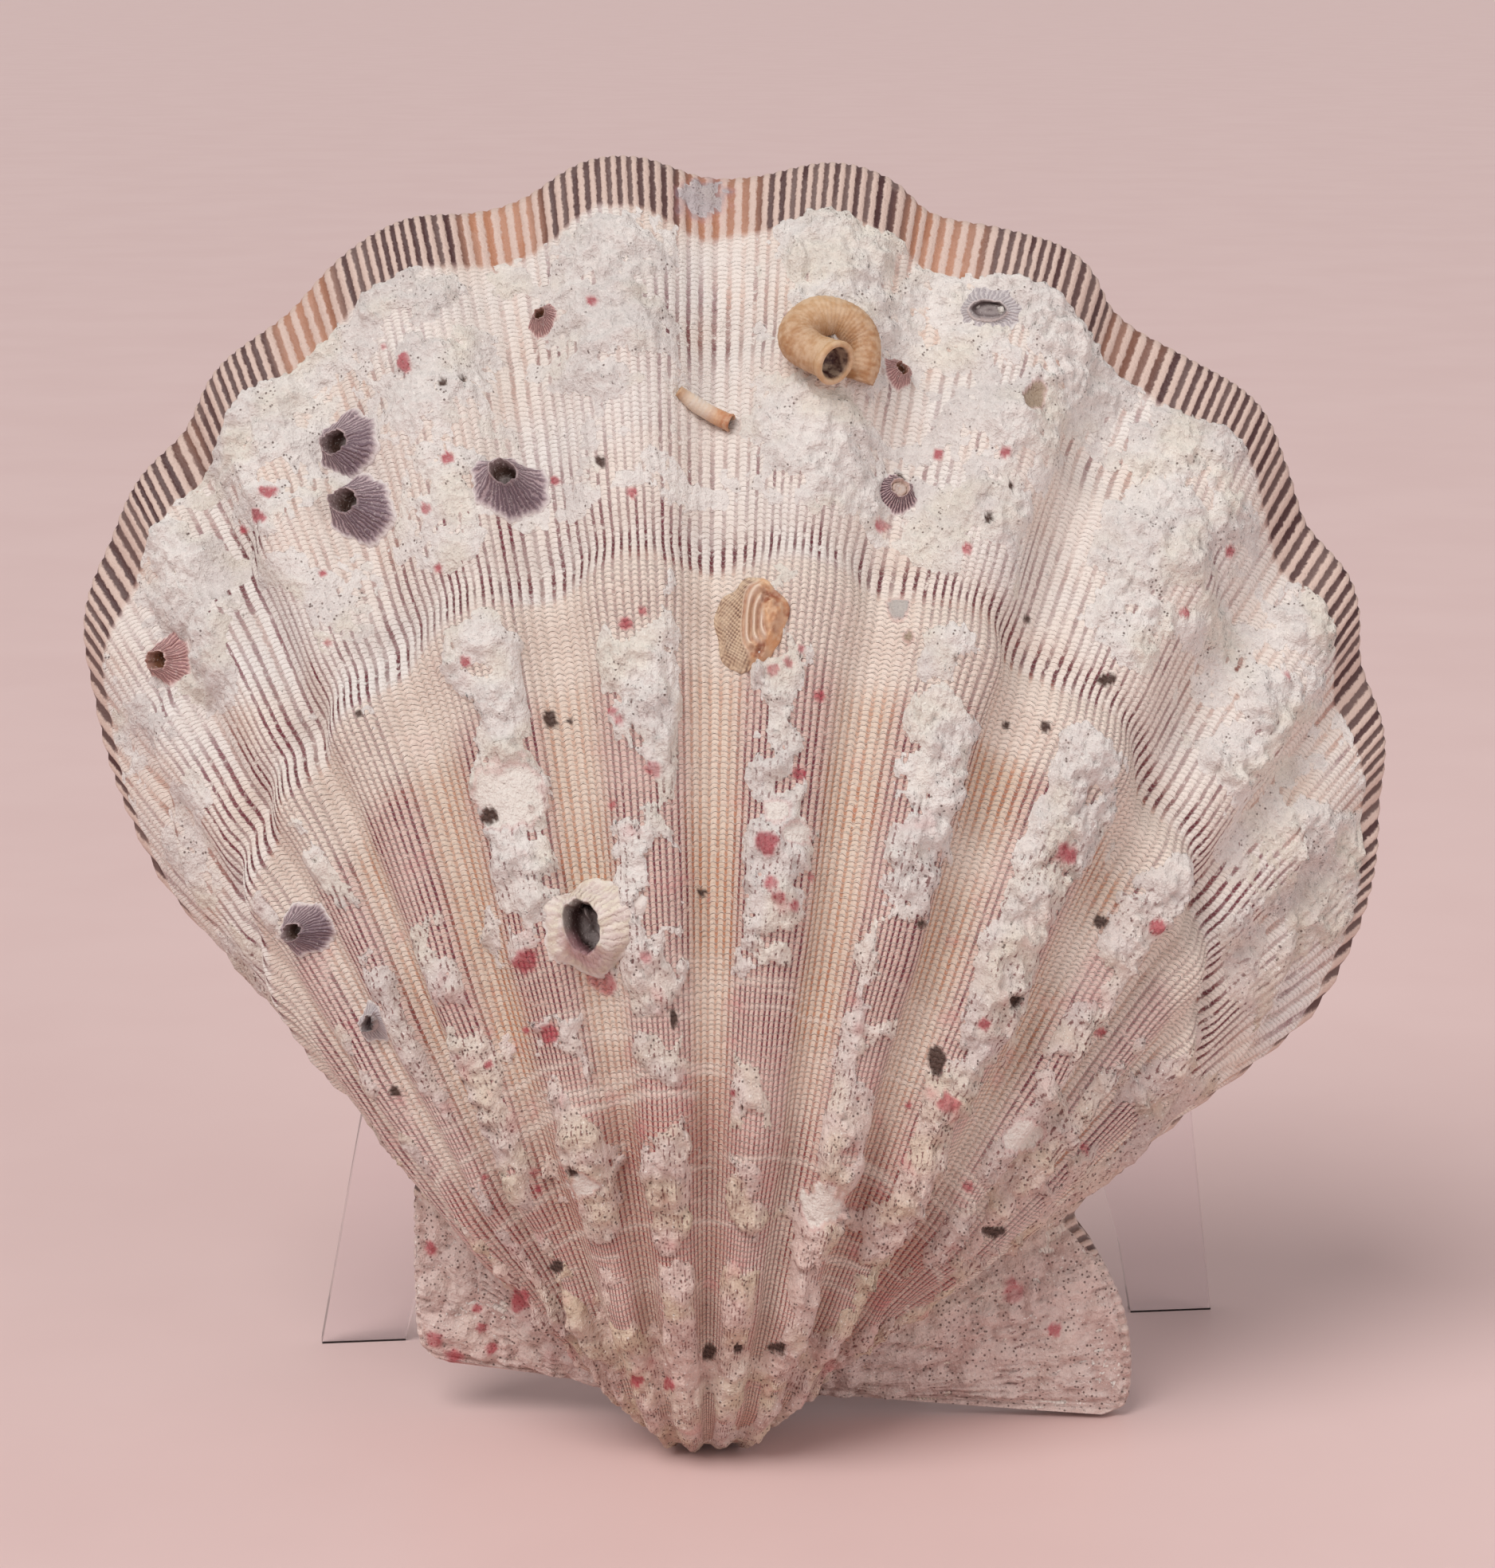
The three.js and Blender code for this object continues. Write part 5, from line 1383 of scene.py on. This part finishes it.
def flattened_tube():
    """Crushed oval stretch of worm tube: thin plates curled round one side, beaded along its left edge."""
    angle = 2 * np.pi * np.arange(FLAT_SEGMENTS) / FLAT_SEGMENTS
    outline = 1 + 0.07 * np.sin(2 * angle + 0.6) + 0.05 * np.sin(5 * angle + 1.0) + 0.03 * np.sin(9 * angle)
    rings, colours = [], []
    for number, share in enumerate(FLAT_SHARES):
        right = FLAT_WIDTH * share * outline * np.cos(angle)
        forward = FLAT_WIDTH * FLAT_STRETCH * share * outline * np.sin(angle)
        local = np.stack([right, forward, np.zeros(angle.shape)], -1)
        away = np.hypot(right - FLAT_FOCUS[0], 0.6 * (forward - FLAT_FOCUS[1]))
        away = away + 0.15 * noise(local, 1.6, 301)
        plates = (0.5 + 0.5 * np.cos(2 * np.pi * away / FLAT_PLATE)) ** 1.1
        crumbs = fractal(local, 1.1, 3, 311)
        beaded = rise(away, 3.1, 3.4)
        orange = np.maximum(rise(right, 1.5, 2.1), rise(forward, -1.8, -2.8) * rise(right, -0.8, 0.2))
        beads = np.cos(2 * np.pi * away / 0.46) * np.cos(2 * np.pi * forward / 0.5)
        rough = lerp(lerp(0.75 * plates, 0.15 * beads, beaded), 0.6 + 1.3 * crumbs, orange)
        tall = 0.2 + rise(share, 1.03, 0.78) * (0.7 + rough)
        if number == 0:
            tall = np.full(angle.shape, -SINK)
        rings.append(seat(FLAT_AT, right, forward, tall))
        # Colour follows the height of plates, beads and crumbs: painted shade low, painted highlight high.
        tone = blend(PLATE_TONES[0] * np.ones(angle.shape + (3,)), PLATE_TONES[1], plates ** 0.6)
        tone = blend(tone, blend(*BEAD_TONES, np.clip(0.5 + beads, 0, 1)), beaded)
        tone = blend(tone, blend(*ORANGE_TONES, np.clip(0.5 + 1.4 * crumbs, 0, 1)), orange)
        colours.append(tone)
    points, faces = stacked_rings(rings, seat(FLAT_AT, 0.0, 0.0, -SINK), np.mean(rings[-1], axis=0))
    faces = [turned(f) for f in faces]
    fields = {"base": rgba(np.concatenate([*colours, [WORM_TAN, WORM_TAN]]), 1.0)}
    return add_mesh("worm_tube_flattened_plates", points, faces, fields, [worm_material()])


# Assembly
def keep(piece, slot, *nodes):
    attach(piece, "root")
    if nodes:
        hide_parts(*nodes)


keep(valve_body(), "shell", "scallop_valve")
# Inner and outer growth stage of the crust's tiles, columns to a riblet and rows.
OUTER_CRUST = (SEAM_STAGE - SEAM_OVERLAP, 0.972, 4, 150)
INNER_CRUST = (0.03, SEAM_STAGE + SEAM_OVERLAP, 3, 260)
EAR_CRUST = (0.05, 0.985, 3, 110)
CRUST_TILES = {
    "crust_outer_1": (EDGE_LEFT, VALLEYS[5], *OUTER_CRUST),
    "crust_outer_2": (VALLEYS[5], VALLEYS[8], *OUTER_CRUST),
    "crust_outer_3": (VALLEYS[8], EDGE_RIGHT, *OUTER_CRUST),
    "crust_inner_left": (EDGE_LEFT, RIBS[6, 0], *INNER_CRUST),
    "crust_inner_right": (RIBS[6, 0], EDGE_RIGHT, *INNER_CRUST),
    "crust_ear_left": (MARGIN_DIRECTION[0] + 0.3, EDGE_LEFT, *EAR_CRUST),
    "crust_ear_right": (EDGE_RIGHT, MARGIN_DIRECTION[-1] - 0.3, *EAR_CRUST),
}
for name, span in CRUST_TILES.items():
    keep(crust_tile(name, *span), "shell")
for name, facts in BARNACLES.items():
    keep(barnacle(name, *facts), "barnacle", name)
COILED_TONES = [WORM_TAN, WORM_TAN, WORM_PALE, WORM_TAN, WORM_PALE]
SMALL_TONES = [WORM_TAN, srgb(222, 212, 200), srgb(228, 220, 210), srgb(206, 150, 110), srgb(176, 104, 66)]
coiled = swept_tube("worm_tube_coiled_rings", (6.6, 0.85), COILED_ROUTE, 2.2, COILED_TONES)
keep(coiled, "worm_tube", "worm_tube_coiled")
small = swept_tube("worm_tube_small_rings", (0, 0.818), SMALL_ROUTE, 0.9, SMALL_TONES, 28, 60)
keep(small, "worm_tube", "worm_tube_small")
keep(flattened_tube(), "worm_tube", "worm_tube_flattened")

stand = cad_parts["display_stand"]
stand.data.materials.clear()
stand.data.materials.append(acrylic_material())


# Floor, light and camera
FLOOR_HALF = 30.0           # m
SKY = (0.92, 0.86, 0.86, 1)
SKY_STRENGTH = 0.44
KEY_FROM = (0.35, 0.45, -0.7)
FILL_FROM, FILL_TO = (0.7, -0.6, 0.35), (0, 0, 0.07)


def link(name, data):
    """A new object of the scene."""
    thing = bpy.data.objects.new(name, data)
    bpy.context.scene.collection.objects.link(thing)
    return thing


def add_floor():
    mesh = bpy.data.meshes.new("floor")
    corners = [(x * FLOOR_HALF, y * FLOOR_HALF, 0) for x, y in ((-1, -1), (1, -1), (1, 1), (-1, 1))]
    mesh.from_pydata(corners, [], [(0, 1, 2, 3)])
    mesh.materials.append(floor_material())
    floor = link("floor", mesh)


def add_key():
    """Broad soft light from the upper left, the same all over the floor."""
    light = bpy.data.lights.new("key", "SUN")
    light.energy = 2.1
    light.angle = 0.65
    light.color = (1.0, 0.975, 0.96)
    link("key", light).rotation_euler = Vector(KEY_FROM).to_track_quat("-Z", "Y").to_euler()


def add_fill():
    """Weak square light from the front right."""
    light = bpy.data.lights.new("fill", "AREA")
    light.shape = "RECTANGLE"
    light.size = light.size_y = 0.6
    light.energy = 1.8
    light.color = (1.0, 0.96, 0.96)
    lamp = link("fill", light)
    lamp.location = FILL_FROM
    lamp.rotation_euler = (Vector(FILL_TO) - Vector(FILL_FROM)).to_track_quat("-Z", "Y").to_euler()


def add_world():
    world = bpy.data.worlds.new("studio")
    world.use_nodes = True
    background = world.node_tree.nodes["Background"]
    background.inputs["Color"].default_value = SKY
    background.inputs["Strength"].default_value = SKY_STRENGTH
    bpy.context.scene.world = world


def add_camera():
    camera = bpy.data.cameras.new("camera")
    camera.sensor_width = SENSOR
    camera.lens = FOCAL * SENSOR / max(PHOTO_W, PHOTO_H)
    thing = link("camera", camera)
    thing.location = EYE / 1000.0
    thing.rotation_euler = (math.radians(90 - CAMERA_ELEVATION_DEG), 0, 0)
    bpy.context.scene.camera = thing


bpy.context.scene.view_settings.view_transform = "Standard"
add_floor()
add_world()
add_camera()
add_key()
add_fill()
